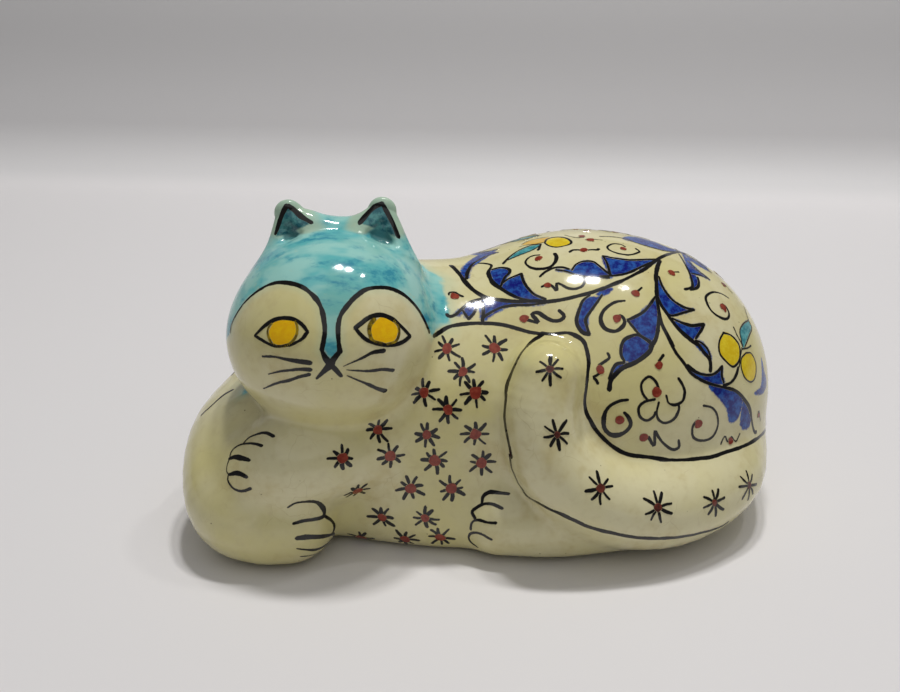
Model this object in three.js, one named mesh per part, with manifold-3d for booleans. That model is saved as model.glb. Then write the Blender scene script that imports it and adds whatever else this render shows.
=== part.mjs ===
// Lying cat figurine in glazed earthenware, 21 cm long.
// A hollow body, a hollow head, solid ears, tail and paws, and a slab that closes the foot ring are made as
// separate pieces of clay and luted together before the firing. Millimetres, +Z up, origin on the table under
// the middle of the cat. The face and the paws look towards -Y and the rump is at +X.
// Left and right are the cat's own, so its right side is at -X.
import * as THREE from 'three';
import { mergeVertices } from 'three/addons/utils/BufferGeometryUtils.js';
import Module from 'manifold-3d';

const wasm = await Module();
wasm.setup();

// Driving dimensions
const wall = 5; // thickness of the cast clay
const lutingGap = 0.3; // the slip between two pieces
const slabThickness = 6;
const ventRadius = 8; // hole in the slab that lets the firing gases out
const neckHoleRadius = 9; // hole between the body's hollow and the head's

// Masses of clay, each an ellipsoid with its centre and its three radii
const rump = { centre: [37, 8, 38.5], radii: [69.3, 55, 61] };
const hip = { centre: [62, 10, 42], radii: [42.7, 46, 47.6] };
const shoulders = { centre: [-42.5, 6, 28], radii: [53, 47, 40] };
const lowerFlanks = { centre: [1.5, 1, 14], radii: [90, 50, 34] };
const chest = { centre: [-16.5, -6, 46], radii: [45, 40, 41.5] };
const chinRest = { centre: [-75, -27, 42], radii: [15, 13, 11.5] };
const neck = { from: [-40.5, -12, 71], to: [-8.5, 6, 65], radii: [25, 20] };
const cheeks = { centre: [-51, -27, 74.5], radii: [35.5, 33, 31.5] };
const forehead = { centre: [-49.5, -23, 90], radii: [25, 24, 17] };
const crestRight = { from: [-58, -15, 109], to: [-50, -14.5, 106.3], radii: [4.6, 5.4] };
const crestLeft = { from: [-50, -14.5, 106.3], to: [-36.5, -14, 106.3], radii: [5.4, 5.6] };

// Rolls of clay, each a centreline and the radius at each of its points
const tailRoll = {
  points: [[20.5, -42, 66], [18.5, -46, 53], [22.5, -49, 38], [39.5, -49, 24], [63.5, -42, 19],
    [85.5, -24, 21], [91.5, 6, 23], [84.5, 34, 22], [70.5, 46, 20]],
  radii: [11, 12, 13, 14.5, 15.5, 15, 14, 13, 10],
};
const rightForelegRoll = {
  points: [[-72, 4, 35], [-84.8, -16, 29.5], [-83.2, -38, 20], [-75.5, -44, 15], [-67.6, -45, 14]],
  radii: [19, 20, 20, 17.5, 16.2],
};
const leftForelegRoll = {
  points: [[-22.5, -24, 40], [-44.5, -38, 38], [-62.5, -45, 36.5], [-73.5, -44, 34]],
  radii: [15, 15, 16, 14.5],
};
const hindPawRoll = {
  points: [[6.5, -42, 12], [27.5, -43, 12], [57.5, -36, 11]],
  radii: [13, 13, 12],
};

// Ears: a flattened cone of clay with a scoop out of its front
const rightEar = { base: [-60.5, -17, 99], tip: [-65.5, -15, 113.5] };
const leftEar = { base: [-37.5, -17, 99], tip: [-34.2, -14, 114.1] };
const earShape = { baseRadius: 16, tipRadius: 4.8, thickness: 0.5 };
const scoopShape = { baseRadius: 13.4, tipRadius: 2.4, thickness: 0.58 };
// How far the scoop is in front of the cone and below its tip
const scoopOffset = { atBase: 8.5, atTip: 5, belowTip: 3.5 };

// A field gives a point's distance from a shape's surface, below zero inside it.
const ellipsoid = ({ centre, radii }) => (p) => {
  const q = p.clone().sub(new THREE.Vector3(...centre)).divide(new THREE.Vector3(...radii));
  const size = q.length();
  return (size * (size - 1)) / Math.max(q.divide(new THREE.Vector3(...radii)).length(), 1e-9);
};

// thickness flattens the cone in Y.
const taperedCapsule = ({ from, to, radii, thickness = 1 }) => (p) => {
  const flatten = new THREE.Vector3(1, 1 / thickness, 1);
  const start = new THREE.Vector3(...from);
  const axis = new THREE.Vector3(...to).sub(start).multiply(flatten);
  const q = p.clone().sub(start).multiply(flatten);
  const along = THREE.MathUtils.clamp(q.dot(axis) / axis.lengthSq(), 0, 1);
  const radius = THREE.MathUtils.lerp(radii[0], radii[1], along);
  return (q.addScaledVector(axis, -along).length() - radius) * thickness;
};

// The smooth union of several fields, with a fillet about reach / 3 wide where they meet.
const smoothUnion = (reach, ...fields) => (p) => fields.map((field) => field(p)).reduce((a, b) => {
  const near = Math.max(reach - Math.abs(a - b), 0) / reach;
  return Math.min(a, b) - (near ** 3 * reach) / 6;
});

const haunches = smoothUnion(36, smoothUnion(12, ellipsoid(rump), ellipsoid(hip)), ellipsoid(shoulders));
const trunk = smoothUnion(
  20,
  smoothUnion(16, haunches, ellipsoid(lowerFlanks)),
  ellipsoid(chest),
  taperedCapsule(neck),
);
const bodyField = smoothUnion(10, trunk, ellipsoid(chinRest));
// A roll that is short enough to be seen whole from its middle: tapered capsules end to end along its curve.
const rollField = ({ points, radii }) => {
  const steps = 4 * (points.length - 1);
  const centres = new THREE.CatmullRomCurve3(points.map((p) => new THREE.Vector3(...p))).getPoints(steps);
  const sizes = new THREE.CatmullRomCurve3(radii.map((r, i) => new THREE.Vector3(i, r, 0))).getPoints(steps);
  const links = centres.slice(1).map((to, i) => taperedCapsule({
    from: centres[i].toArray(), to: to.toArray(), radii: [sizes[i].y, sizes[i + 1].y],
  }));
  return (p) => Math.min(...links.map((link) => link(p)));
};
const headField = smoothUnion(
  3,
  smoothUnion(14, ellipsoid(cheeks), ellipsoid(forehead)),
  taperedCapsule(crestRight),
  taperedCapsule(crestLeft),
);

// A closed geometry as a solid that can be cut and joined.
function solidOf(geometry) {
  const closed = geometry.clone();
  closed.deleteAttribute('normal');
  closed.deleteAttribute('uv');
  const merged = mergeVertices(closed, 1e-4);
  return new wasm.Manifold(new wasm.Mesh({
    numProp: 3,
    vertProperties: merged.getAttribute('position').array,
    triVerts: new Uint32Array(merged.getIndex().array),
  }));
}

// The solid inside a field's surface, or inside the surface that lies offset outside it. Every ray from the
// centre crosses that surface once.
function blob(field, centre, detail, offset = 0) {
  const geometry = new THREE.IcosahedronGeometry(1, detail);
  const position = geometry.getAttribute('position');
  const origin = new THREE.Vector3(...centre);
  const longest = 200;
  const halvings = 26;
  for (let i = 0; i < position.count; i += 1) {
    const direction = new THREE.Vector3().fromBufferAttribute(position, i).normalize();
    let inside = 0;
    let outside = longest;
    for (let k = 0; k < halvings; k += 1) {
      const middle = (inside + outside) / 2;
      if (field(origin.clone().addScaledVector(direction, middle)) < offset) inside = middle;
      else outside = middle;
    }
    position.setXYZ(i, ...origin.clone().addScaledVector(direction, inside));
  }
  return solidOf(geometry);
}

// A round-ended roll: a capsule bent along a curve, its radius following the radii given at the curve's points.
function roll({ points, radii }, offset = 0, around = 18) {
  const curve = new THREE.CatmullRomCurve3(points.map((p) => new THREE.Vector3(...p)));
  const steps = 5 * (points.length - 1);
  const length = curve.getLength();
  const frames = curve.computeFrenetFrames(steps, false);
  const radiusAt = new THREE.CatmullRomCurve3(radii.map((r, i) => new THREE.Vector3(i, r, 0)));
  const capsule = new THREE.CapsuleGeometry(1, length, 5, around, steps);
  const position = capsule.getAttribute('position');
  for (let i = 0; i < position.count; i += 1) {
    const p = new THREE.Vector3().fromBufferAttribute(position, i);
    const along = THREE.MathUtils.clamp(p.y / length + 0.5, 0, 1);
    const past = p.y - THREE.MathUtils.clamp(p.y, -length / 2, length / 2);
    const step = Math.round(along * steps);
    // The radii belong to the points, which aren't evenly spaced along the curve.
    const radius = radiusAt.getPoint(curve.getUtoTmapping(along)).y + offset;
    const at = curve.getPointAt(along)
      .addScaledVector(frames.normals[step], p.x * radius)
      .addScaledVector(frames.binormals[step], -p.z * radius)
      .addScaledVector(frames.tangents[step], past * radius);
    position.setXYZ(i, ...at);
  }
  return solidOf(capsule);
}

function box(size, centre) {
  return solidOf(new THREE.BoxGeometry(...size).translate(...centre));
}

function cylinder(radius, height, from, towards) {
  const direction = new THREE.Vector3(...towards).sub(new THREE.Vector3(...from)).normalize();
  const turn = new THREE.Quaternion().setFromUnitVectors(new THREE.Vector3(0, 1, 0), direction);
  return solidOf(new THREE.CylinderGeometry(radius, radius, height, 32).applyQuaternion(turn).translate(...from));
}

function earCone(base, tip, shape) {
  const field = taperedCapsule({
    from: base, to: tip, radii: [shape.baseRadius, shape.tipRadius], thickness: shape.thickness,
  });
  const middle = base.map((value, axis) => (value + tip[axis]) / 2);
  return blob(field, middle, 12);
}

// The ear's cone, less the scoop in its front.
function ear({ base, tip }) {
  const scoopBase = [base[0], base[1] - scoopOffset.atBase, base[2]];
  const scoopTip = [tip[0], tip[1] - scoopOffset.atTip, tip[2] - scoopOffset.belowTip];
  return earCone(base, tip, earShape).subtract(earCone(scoopBase, scoopTip, scoopShape));
}

const bodyCentre = [9, 4, 34];
const headCentre = [-50, -24, 80];
const farBelow = 100;
const belowTable = box([400, 400, farBelow], [0, 0, -farBelow / 2]);
const slabLayer = box([400, 400, slabThickness], [0, 0, slabThickness / 2]);

const bodyOutside = blob(bodyField, bodyCentre, 10);
const bodyWithSlip = blob(bodyField, bodyCentre, 10, lutingGap);
const bodyHollow = blob(bodyField, bodyCentre, 6, -wall);
const slabOutline = blob(bodyField, bodyCentre, 6, -wall - lutingGap);
const headOutside = blob(headField, headCentre, 7);
const headWithSlip = blob(headField, headCentre, 7, lutingGap);
const headHollow = blob(headField, headCentre, 4, -wall);
const tailWithSlip = roll(tailRoll, lutingGap);
const rightForeleg = rollField(rightForelegRoll);
const rightForelegCentre = [-80, -26, 25];
const rightForelegWithSlip = blob(rightForeleg, rightForelegCentre, 7, lutingGap);

// The vent is under the middle of the body, and the neck's hole is in the body's wall behind the head.
const vent = cylinder(ventRadius, 4 * slabThickness, [-8, 2, 0], [-8, 2, 1]);
const neckHole = cylinder(neckHoleRadius, 60, [-30, -8, 68], headCentre);

const pieces = {
  body_shell: bodyOutside.subtract(bodyHollow).subtract(neckHole),
  base_slab: slabOutline.intersect(slabLayer).subtract(vent),
  head_shell: headOutside.subtract(headHollow).subtract(bodyWithSlip),
  ear_right: ear(rightEar).subtract(headWithSlip),
  ear_left: ear(leftEar).subtract(headWithSlip),
  tail: roll(tailRoll).subtract(bodyWithSlip),
  foreleg_right: blob(rightForeleg, rightForelegCentre, 7).subtract(bodyWithSlip).subtract(headWithSlip),
  foreleg_left: blob(rollField(leftForelegRoll), [-52, -42, 37], 7).subtract(bodyWithSlip)
    .subtract(headWithSlip).subtract(rightForelegWithSlip),
  hind_paw: blob(rollField(hindPawRoll), [30, -42, 12], 7).subtract(bodyWithSlip).subtract(tailWithSlip),
};

// A cut can leave crumbs beside the piece, so the largest body is kept.
const largestBody = (solid) => solid.decompose().sort((a, b) => b.volume() - a.volume())[0];

const creamGlaze = new THREE.MeshStandardMaterial({ color: 0xd9d2ae, roughness: 0.18, metalness: 0 });
const turquoiseGlaze = new THREE.MeshStandardMaterial({ color: 0x5fb0bd, roughness: 0.15, metalness: 0 });
const bareClay = new THREE.MeshStandardMaterial({ color: 0xc9a98a, roughness: 0.85, metalness: 0 });
const glazeOf = {
  head_shell: turquoiseGlaze,
  ear_right: turquoiseGlaze,
  ear_left: turquoiseGlaze,
  base_slab: bareClay,
};

const cat = new THREE.Group();
for (const [name, solid] of Object.entries(pieces)) {
  const cut = largestBody(solid.subtract(belowTable)).getMesh();
  const geometry = new THREE.BufferGeometry();
  geometry.setAttribute('position', new THREE.BufferAttribute(new Float32Array(cut.vertProperties), 3));
  geometry.setIndex(new THREE.BufferAttribute(new Uint32Array(cut.triVerts), 1));
  geometry.computeVertexNormals();
  const mesh = new THREE.Mesh(geometry, glazeOf[name] ?? creamGlaze);
  mesh.name = name;
  cat.add(mesh);
}

export default cat;
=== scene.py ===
import math

import bpy
import numpy as np
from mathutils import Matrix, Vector


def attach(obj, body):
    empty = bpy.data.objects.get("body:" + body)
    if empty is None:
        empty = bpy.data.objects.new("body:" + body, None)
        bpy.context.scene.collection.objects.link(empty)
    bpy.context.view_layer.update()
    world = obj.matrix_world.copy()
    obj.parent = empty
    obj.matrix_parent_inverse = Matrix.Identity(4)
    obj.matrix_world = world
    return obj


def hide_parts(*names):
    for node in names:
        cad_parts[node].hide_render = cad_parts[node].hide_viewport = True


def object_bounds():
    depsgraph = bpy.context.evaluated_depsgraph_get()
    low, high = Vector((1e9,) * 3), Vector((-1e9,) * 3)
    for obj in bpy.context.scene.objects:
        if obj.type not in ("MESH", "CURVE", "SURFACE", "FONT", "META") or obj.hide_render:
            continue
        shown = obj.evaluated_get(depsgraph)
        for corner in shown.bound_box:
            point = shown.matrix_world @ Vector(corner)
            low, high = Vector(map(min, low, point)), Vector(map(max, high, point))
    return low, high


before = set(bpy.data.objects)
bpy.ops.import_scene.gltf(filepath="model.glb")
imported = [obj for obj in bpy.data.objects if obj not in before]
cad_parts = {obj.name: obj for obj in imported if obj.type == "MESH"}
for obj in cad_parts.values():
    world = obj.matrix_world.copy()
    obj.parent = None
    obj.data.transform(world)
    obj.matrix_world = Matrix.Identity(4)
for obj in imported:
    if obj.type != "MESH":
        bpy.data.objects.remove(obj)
bpy.context.view_layer.update()
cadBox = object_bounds()
mm = 0.001

# The cat's clay, in millimetres in the CAD frame: the same masses and rolls as the CAD pieces.
# Here their joins are smoothed over, as slip and glaze do.
clay = {
    "rump": ((37, 8, 38.5), (69.3, 55, 61)),
    "hip": ((62, 10, 42), (42.7, 46, 47.6)),
    "shoulders": ((-42.5, 6, 28), (53, 47, 40)),
    "lowerFlanks": ((1.5, 1, 14), (90, 50, 34)),
    "chest": ((-16.5, -6, 46), (45, 40, 41.5)),
    "chinRest": ((-75, -27, 42), (15, 13, 11.5)),
    "neck": ((-40.5, -12, 71), (-8.5, 6, 65), 25, 20),
    "cheeks": ((-51, -27, 74.5), (35.5, 33, 31.5)),
    "forehead": ((-49.5, -23, 90), (25, 24, 17)),
    "crestRight": ((-58, -15, 109), (-50, -14.5, 106.3), 4.6, 5.4),
    "crestLeft": ((-50, -14.5, 106.3), (-36.5, -14, 106.3), 5.4, 5.6),
    "rightEar": ((-60.5, -17, 99), (-65.5, -15, 113.5)),
    "leftEar": ((-37.5, -17, 99), (-34.2, -14, 114.1)),
    # An ear's radii at its base and tip and how flat it is, the same for its scoop, and how far the scoop is
    # off the ear's own base and tip
    "earCone": (16, 4.8, 0.5), "earScoop": (13.4, 2.4, 0.58),
    "scoopShift": ((0, -8.5, 0), (0, -5, -3.5)), "earLip": 2,
    "tail": ([(20.5, -42, 66), (18.5, -46, 53), (22.5, -49, 38), (39.5, -49, 24), (63.5, -42, 19),
              (85.5, -24, 21), (91.5, 6, 23), (84.5, 34, 22), (70.5, 46, 20)],
             [11, 12, 13, 14.5, 15.5, 15, 14, 13, 10]),
    "rightForeleg": ([(-72, 4, 35), (-84.8, -16, 29.5), (-83.2, -38, 20), (-75.5, -44, 15),
                      (-67.6, -45, 14)],
                     [19, 20, 20, 17.5, 16.2]),
    "leftForeleg": ([(-22.5, -24, 40), (-44.5, -38, 38), (-62.5, -45, 36.5), (-73.5, -44, 34)],
                    [15, 15, 16, 14.5]),
    "hindPaw": ([(6.5, -42, 12), (27.5, -43, 12), (57.5, -36, 11)], [13, 13, 12]),
    "rollSteps": 5,  # straight lengths to each span of a roll
    # How far each join is filled
    "fillets": {"hip": 12, "chinRest": 12, "haunch": 36, "flanks": 16, "chest": 20, "face": 14, "crest": 3,
                "ears": 6, "neck": 6, "tail": 10, "rightForeleg": 16, "leftForeleg": 10, "hindPaw": 8,
                "foot": 8},
}


def smoothMin(a, b, reach):
    near = np.maximum(reach - np.abs(a - b), 0) / reach
    return np.minimum(a, b) - near ** 3 * reach / 6


def smoothMax(a, b, reach):
    return -smoothMin(-a, -b, reach)


def ellipsoid(p, centre, radii):
    q = (p - np.array(centre)) / np.array(radii)
    size = np.linalg.norm(q, axis=1)
    return size * (size - 1) / np.maximum(np.linalg.norm(q / np.array(radii), axis=1), 1e-9)


def taperedCapsule(p, start, end, startRadius, endRadius, flatness=1.0):
    # flatness squeezes it in Y
    squeeze = np.array([1, 1 / flatness, 1])
    axis = (np.array(end, float) - start) * squeeze
    q = (p - np.array(start)) * squeeze
    along = np.clip(q @ axis / (axis @ axis), 0, 1)
    away = q - along[:, None] * axis
    distance = np.sqrt(np.einsum("ij,ij->i", away, away))
    return (distance - startRadius - (endRadius - startRadius) * along) * flatness


def spline(points, steps):
    # A Catmull-Rom curve through the points, steps samples to each span
    points = np.array(points, float)
    padded = np.vstack([2 * points[0] - points[1], points, 2 * points[-1] - points[-2]])
    t = np.linspace(0, 1, steps, endpoint=False)[:, None]
    spans = []
    for a, b, c, d in zip(padded, padded[1:], padded[2:], padded[3:]):
        squared = (2 * a - 5 * b + 4 * c - d) * t ** 2
        cubed = (3 * b - a - 3 * c + d) * t ** 3
        spans.append(0.5 * (2 * b + (c - a) * t + squared + cubed))
    return np.vstack(spans + [points[-1:]])


def rollLinks(name):
    points, radii = clay[name]
    centres = spline(points, clay["rollSteps"])
    sizes = spline([(r, 0) for r in radii], clay["rollSteps"])[:, 0]
    return list(zip(centres, centres[1:], sizes, sizes[1:]))


rolls = ("tail", "rightForeleg", "leftForeleg", "hindPaw")
links = {name: rollLinks(name) for name in rolls}


def roll(p, name):
    nearest = np.full(len(p), np.inf)
    for link in links[name]:
        nearest = np.minimum(nearest, taperedCapsule(p, *link))
    return nearest


def ear(p, name):
    base, tip = (np.array(v, float) for v in clay[name])
    baseShift, tipShift = clay["scoopShift"]
    outside = taperedCapsule(p, base, tip, *clay["earCone"])
    scoop = taperedCapsule(p, base + baseShift, tip + tipShift, *clay["earScoop"])
    return smoothMax(outside, -scoop, clay["earLip"])


def partDistances(p):
    # Each piece's own distance field, before the joins are filled
    fill = clay["fillets"]
    rump = smoothMin(ellipsoid(p, *clay["rump"]), ellipsoid(p, *clay["hip"]), fill["hip"])
    haunches = smoothMin(rump, ellipsoid(p, *clay["shoulders"]), fill["haunch"])
    trunk = smoothMin(haunches, ellipsoid(p, *clay["lowerFlanks"]), fill["flanks"])
    trunk = smoothMin(trunk, ellipsoid(p, *clay["chest"]), fill["chest"])
    trunk = smoothMin(trunk, taperedCapsule(p, *clay["neck"]), fill["chest"])
    body = smoothMin(trunk, ellipsoid(p, *clay["chinRest"]), fill["chinRest"])
    skull = smoothMin(ellipsoid(p, *clay["cheeks"]), ellipsoid(p, *clay["forehead"]), fill["face"])
    head = smoothMin(skull, taperedCapsule(p, *clay["crestRight"]), fill["crest"])
    return {
        "body": body,
        "head": smoothMin(head, taperedCapsule(p, *clay["crestLeft"]), fill["crest"]),
        "rightEar": ear(p, "rightEar"),
        "leftEar": ear(p, "leftEar"),
        **{name: roll(p, name) for name in rolls},
    }


def skinDistance(p):
    # The glazed skin is where this is zero
    part, fill = partDistances(p), clay["fillets"]
    head = smoothMin(part["head"], np.minimum(part["rightEar"], part["leftEar"]), fill["ears"])
    d = smoothMin(part["body"], head, fill["neck"])
    for name in rolls:
        d = smoothMin(d, part[name], fill[name])
    return smoothMax(d, -p[:, 2], fill["foot"])


corners = np.array([(1, -1, -1), (-1, -1, 1), (-1, 1, -1), (1, 1, 1)], float)
probe = 0.08  # from a point to each corner, along each axis


def slope(field, p):
    # A field's value and gradient at each point, from the four corners of a small tetrahedron round it
    near = [field(p + probe * corner) for corner in corners]
    gradient = sum(value[:, None] * corner for value, corner in zip(near, corners)) / (4 * probe)
    return sum(near) / 4, gradient


def settle(p, steps):
    # Moves points on to the skin, and gives the outward normals there
    for _ in range(steps):
        value, gradient = slope(skinDistance, p)
        p = p - (value / np.einsum("ij,ij->i", gradient, gradient))[:, None] * gradient
    _, gradient = slope(skinDistance, p)
    return p, gradient / np.linalg.norm(gradient, axis=1)[:, None]


def meshSkin(cell):
    # Surface nets: a vertex in each grid cell that the skin crosses, a quad for each grid edge that it cuts
    low, high = (np.array(corner) / mm for corner in cadBox)
    border = 3.2 * cell
    axes = [np.arange(a - border, b + border, cell) for a, b in zip(low, high)]
    grid = np.stack(np.meshgrid(*axes, indexing="ij"), -1)
    value = np.array([skinDistance(layer.reshape(-1, 3)).reshape(layer.shape[:2]) for layer in grid])
    inside = value < 0
    shape = np.array(value.shape) - 1
    total, count = np.zeros((*shape, 3)), np.zeros(shape)
    crossings = []
    for axis in range(3):
        first = [slice(None)] * 3
        second = [slice(None)] * 3
        first[axis], second[axis] = slice(None, -1), slice(1, None)
        first, second = tuple(first), tuple(second)
        where = np.argwhere(inside[first] != inside[second])
        step = np.eye(3, dtype=int)[axis]
        a, b = value[tuple(where.T)], value[tuple((where + step).T)]
        crossing = grid[tuple(where.T)] + (a / (a - b))[:, None] * step * cell
        crossings.append((axis, where, a < 0))
        u, v = np.eye(3, dtype=int)[(axis + 1) % 3], np.eye(3, dtype=int)[(axis + 2) % 3]
        for offset in (0 * u, u, v, u + v):
            cells = tuple((where - offset).T)
            np.add.at(total, cells, crossing)
            np.add.at(count, cells, 1)
    index = np.full(shape, -1)
    index[count > 0] = np.arange((count > 0).sum())
    vertices = total[count > 0] / count[count > 0][:, None]
    quads = []
    for axis, where, outwards in crossings:
        u, v = np.eye(3, dtype=int)[(axis + 1) % 3], np.eye(3, dtype=int)[(axis + 2) % 3]
        quad = np.stack([index[tuple((where - o).T)] for o in (u + v, v, 0 * u, u)], 1)
        quads += [quad[outwards], quad[~outwards][:, ::-1]]
    return vertices, np.vstack(quads)


def thicken(points, normals, faces, wall):
    # Closes an open sheet of quads into a thin solid, with its back a wall's thickness below its front
    edges = np.vstack([faces[:, [k, (k + 1) % 4]] for k in range(4)])
    n = len(points)
    key = edges[:, 0] * n + edges[:, 1]
    rim = edges[~np.isin(key, edges[:, 1] * n + edges[:, 0])]
    walls = np.stack([rim[:, 1], rim[:, 0], rim[:, 0] + n, rim[:, 1] + n], 1)
    shell = np.vstack([faces, faces[:, ::-1] + n, walls])
    return np.vstack([points, points - wall * normals]), np.vstack([normals, -normals]), shell


def addPiece(name, points, normals, faces, material, marks):
    mesh = bpy.data.meshes.new(name)
    mesh.from_pydata((points * mm).tolist(), [], faces.tolist())
    for key, values in marks.items():
        mesh.attributes.new(key, "FLOAT", "POINT").data.foreach_set("value", values.astype(np.float32))
    mesh.shade_smooth()
    mesh.normals_split_custom_set_from_vertices(normals.tolist())
    mesh.materials.append(material)
    piece = bpy.data.objects.new(name, mesh)
    bpy.context.scene.collection.objects.link(piece)
    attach(piece, "root")
    return piece


# The pieces under the glaze, each in place of its CAD node. wall is the thickness of clay behind the skin.
pieces = {
    "body": {"node": "body_shell", "slot": "cream_glaze", "wall": 4},
    "head": {"node": "head_shell", "slot": "turquoise_glaze", "wall": 4},
    "rightEar": {"node": "ear_right", "slot": "turquoise_glaze", "wall": 0.8},
    "leftEar": {"node": "ear_left", "slot": "turquoise_glaze", "wall": 0.8},
    "tail": {"node": "tail", "slot": "cream_glaze", "wall": 3},
    "rightForeleg": {"node": "foreleg_right", "slot": "cream_glaze", "wall": 3},
    "leftForeleg": {"node": "foreleg_left", "slot": "cream_glaze", "wall": 3},
    "hindPaw": {"node": "hind_paw", "slot": "cream_glaze", "wall": 3},
}
skin = {
    "cell": 1.25,  # the width of a quad of the skin
    "footRim": 5.1,  # the width of the foot ring round the base slab
    "footHeight": 0.6,  # the skin is left open over the slab below this
}

# Where the turquoise goes, in millimetres. It covers the head but for the face.
wash = {
    "reach": 5.0,  # how far it runs from the head down the neck
    "faceBack": -20,  # behind this it covers the whole head
    "chest": {"from": -30, "front": -12, "away": 0.3, "top": 79.5},  # it stays above the top on the chest
    "hollowDepth": (0.2, 1.5), "hollowHeight": (103, 106),  # where an ear's dark front fades in
    "rimWidth": (2.0, 0.3), "rimHeight": (104, 109),  # where an ear's pale rim does
}


def lineUp(points, chosen, difference):
    # Slides the chosen points along the skin on to the line where a difference of two fields is zero
    p = points[chosen]
    for _ in range(3):
        value, gradient = slope(difference, p)
        _, outward = slope(skinDistance, p)
        outward /= np.linalg.norm(outward, axis=1)[:, None]
        gradient -= np.einsum("ij,ij->i", gradient, outward)[:, None] * outward
        length = np.maximum(np.linalg.norm(gradient, axis=1), 0.2)
        p = p - (np.clip(value / length, -0.4, 0.4) / length)[:, None] * gradient
    points[chosen] = p


def refine(points, faces):
    # Splits each quad in four
    edges = np.sort(np.vstack([faces[:, [k, (k + 1) % 4]] for k in range(4)]), axis=1)
    unique, inverse = np.unique(edges, axis=0, return_inverse=True)
    inverse = inverse.reshape(4, -1).T + len(points)
    centre = np.arange(len(faces)) + len(points) + len(unique)
    points = np.vstack([points, points[unique].mean(axis=1), points[faces].mean(axis=1)])
    split = [np.stack([faces[:, k], inverse[:, k], centre, inverse[:, k - 1]], 1) for k in range(4)]
    return points, np.vstack(split)


def compact(points, faces):
    # Only the points that the faces use
    used, faces = np.unique(faces, return_inverse=True)
    return points[used], faces.reshape(-1, 4)


def smoothStep(value, low, high):
    # Rises from 0 at low to 1 at high, or falls where low is above high
    t = np.clip((value - low) / (high - low), 0, 1)
    return t * t * (3 - 2 * t)


# Guides for the brush. A spot is (across, up) in degrees round a point, from the way it faces. The skin is
# met going out from the point, which is inside the cat, or coming in from outside, for the ears.
guides = {
    "face": {"centre": (-50, -24, 80), "facing": (0, 5)},
    "ears": {"centre": (-50, 30, 95), "facing": (0, 15), "fromOutside": True},
    "front": {"centre": (-5, 5, 35), "facing": (0, 10)},
    "flank": {"centre": (36.5, 8, 39), "facing": (0, 35)},
    "farFlank": {"centre": (36.5, 8, 39), "facing": (180, 35)},
    "paws": {"centre": (-70, -20, 28), "facing": (0, 0)},
}


def guideAxes(guide):
    azimuth, elevation = (math.radians(angle) for angle in guides[guide]["facing"])
    facing = np.array([math.sin(azimuth) * math.cos(elevation), -math.cos(azimuth) * math.cos(elevation),
                       math.sin(elevation)])
    right = np.array([math.cos(azimuth), math.sin(azimuth), 0])
    return np.array(guides[guide]["centre"], float), facing, right, np.cross(facing, right)


def onSkin(guide, spots):
    # The points of the skin at the spots of a guide
    centre, facing, right, up = guideAxes(guide)
    spots = np.radians(np.asarray(spots, float))
    angle = np.maximum(np.hypot(spots[:, 0], spots[:, 1]), 1e-6)[:, None]
    sideways = (spots[:, :1] * right + spots[:, 1:] * up) / angle
    direction = np.cos(angle) * facing + np.sin(angle) * sideways
    outside = guides[guide].get("fromOutside", False)
    reach = np.full(len(spots), 150.0 if outside else 0.0)
    for _ in range(28):
        gap = skinDistance(centre + reach[:, None] * direction)
        reach = reach - (np.maximum(gap, 0) if outside else np.minimum(gap, 0)) * 0.95
    return centre + reach[:, None] * direction


def spotsOf(guide, points):
    # The other way: the spot of each point, and how far the point is from the centre
    centre, facing, right, up = guideAxes(guide)
    away = points - centre
    distance = np.linalg.norm(away, axis=1)
    away = away / distance[:, None]
    angle = np.arccos(np.clip(away @ facing, -1, 1))
    across, upwards = away @ right, away @ up
    length = np.maximum(np.hypot(across, upwards), 1e-9)
    return np.degrees(angle / length)[:, None] * np.stack([across, upwards], 1), distance


def insideOutline(spots, outline):
    # Signed distance to a closed outline, above zero inside it
    a, b = outline, np.roll(outline, -1, axis=0)
    nearest = np.full(len(spots), np.inf)
    inside = np.zeros(len(spots), bool)
    for start, end in zip(a, b):
        edge, away = end - start, spots - start
        t = np.clip(away @ edge / max(edge @ edge, 1e-12), 0, 1)
        nearest = np.minimum(nearest, np.linalg.norm(away - t[:, None] * edge, axis=1))
        crosses = (start[1] > spots[:, 1]) != (end[1] > spots[:, 1])
        where = start[0] + (spots[:, 1] - start[1]) / (edge[1] if abs(edge[1]) > 1e-12 else 1e-12) * edge[0]
        inside ^= crosses & (spots[:, 0] < where)
    return np.where(inside, nearest, -nearest)


def faceOutline():
    # The cream face in the face guide: the two painted rims, closed under the chin
    rims = brushwork["faceRims"]["strokes"]
    left, right = spline(rims[0][1], 6), spline(rims[2][1], 6)
    nose = [tuple((left[-1] + right[0]) / 2 - (0, 6))]
    return np.vstack([left, nose, right, [(75, -20), (60, -75), (-60, -75), (-80, -20)]])


def washDepth(points, part):
    # How far inside the turquoise wash a point is, in millimetres
    head = np.minimum(part["head"], np.minimum(part["rightEar"], part["leftEar"]))
    spots, distance = spotsOf("face", points)
    inFace = insideOutline(spots, faceOutline()) * np.radians(1) * distance
    behind = points[:, 1] - wash["faceBack"]
    depth = np.minimum(wash["reach"] - head, np.maximum(-inFace, behind))
    chest = wash["chest"]
    onChest = (points[:, 0] > chest["from"]) & (points[:, 1] < chest["front"]) & (head > chest["away"])
    depth = np.where(onChest, np.minimum(depth, points[:, 2] - chest["top"]), depth)
    limbs = np.minimum(part["leftForeleg"], part["rightForeleg"])
    return np.minimum(depth, limbs - head)


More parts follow.
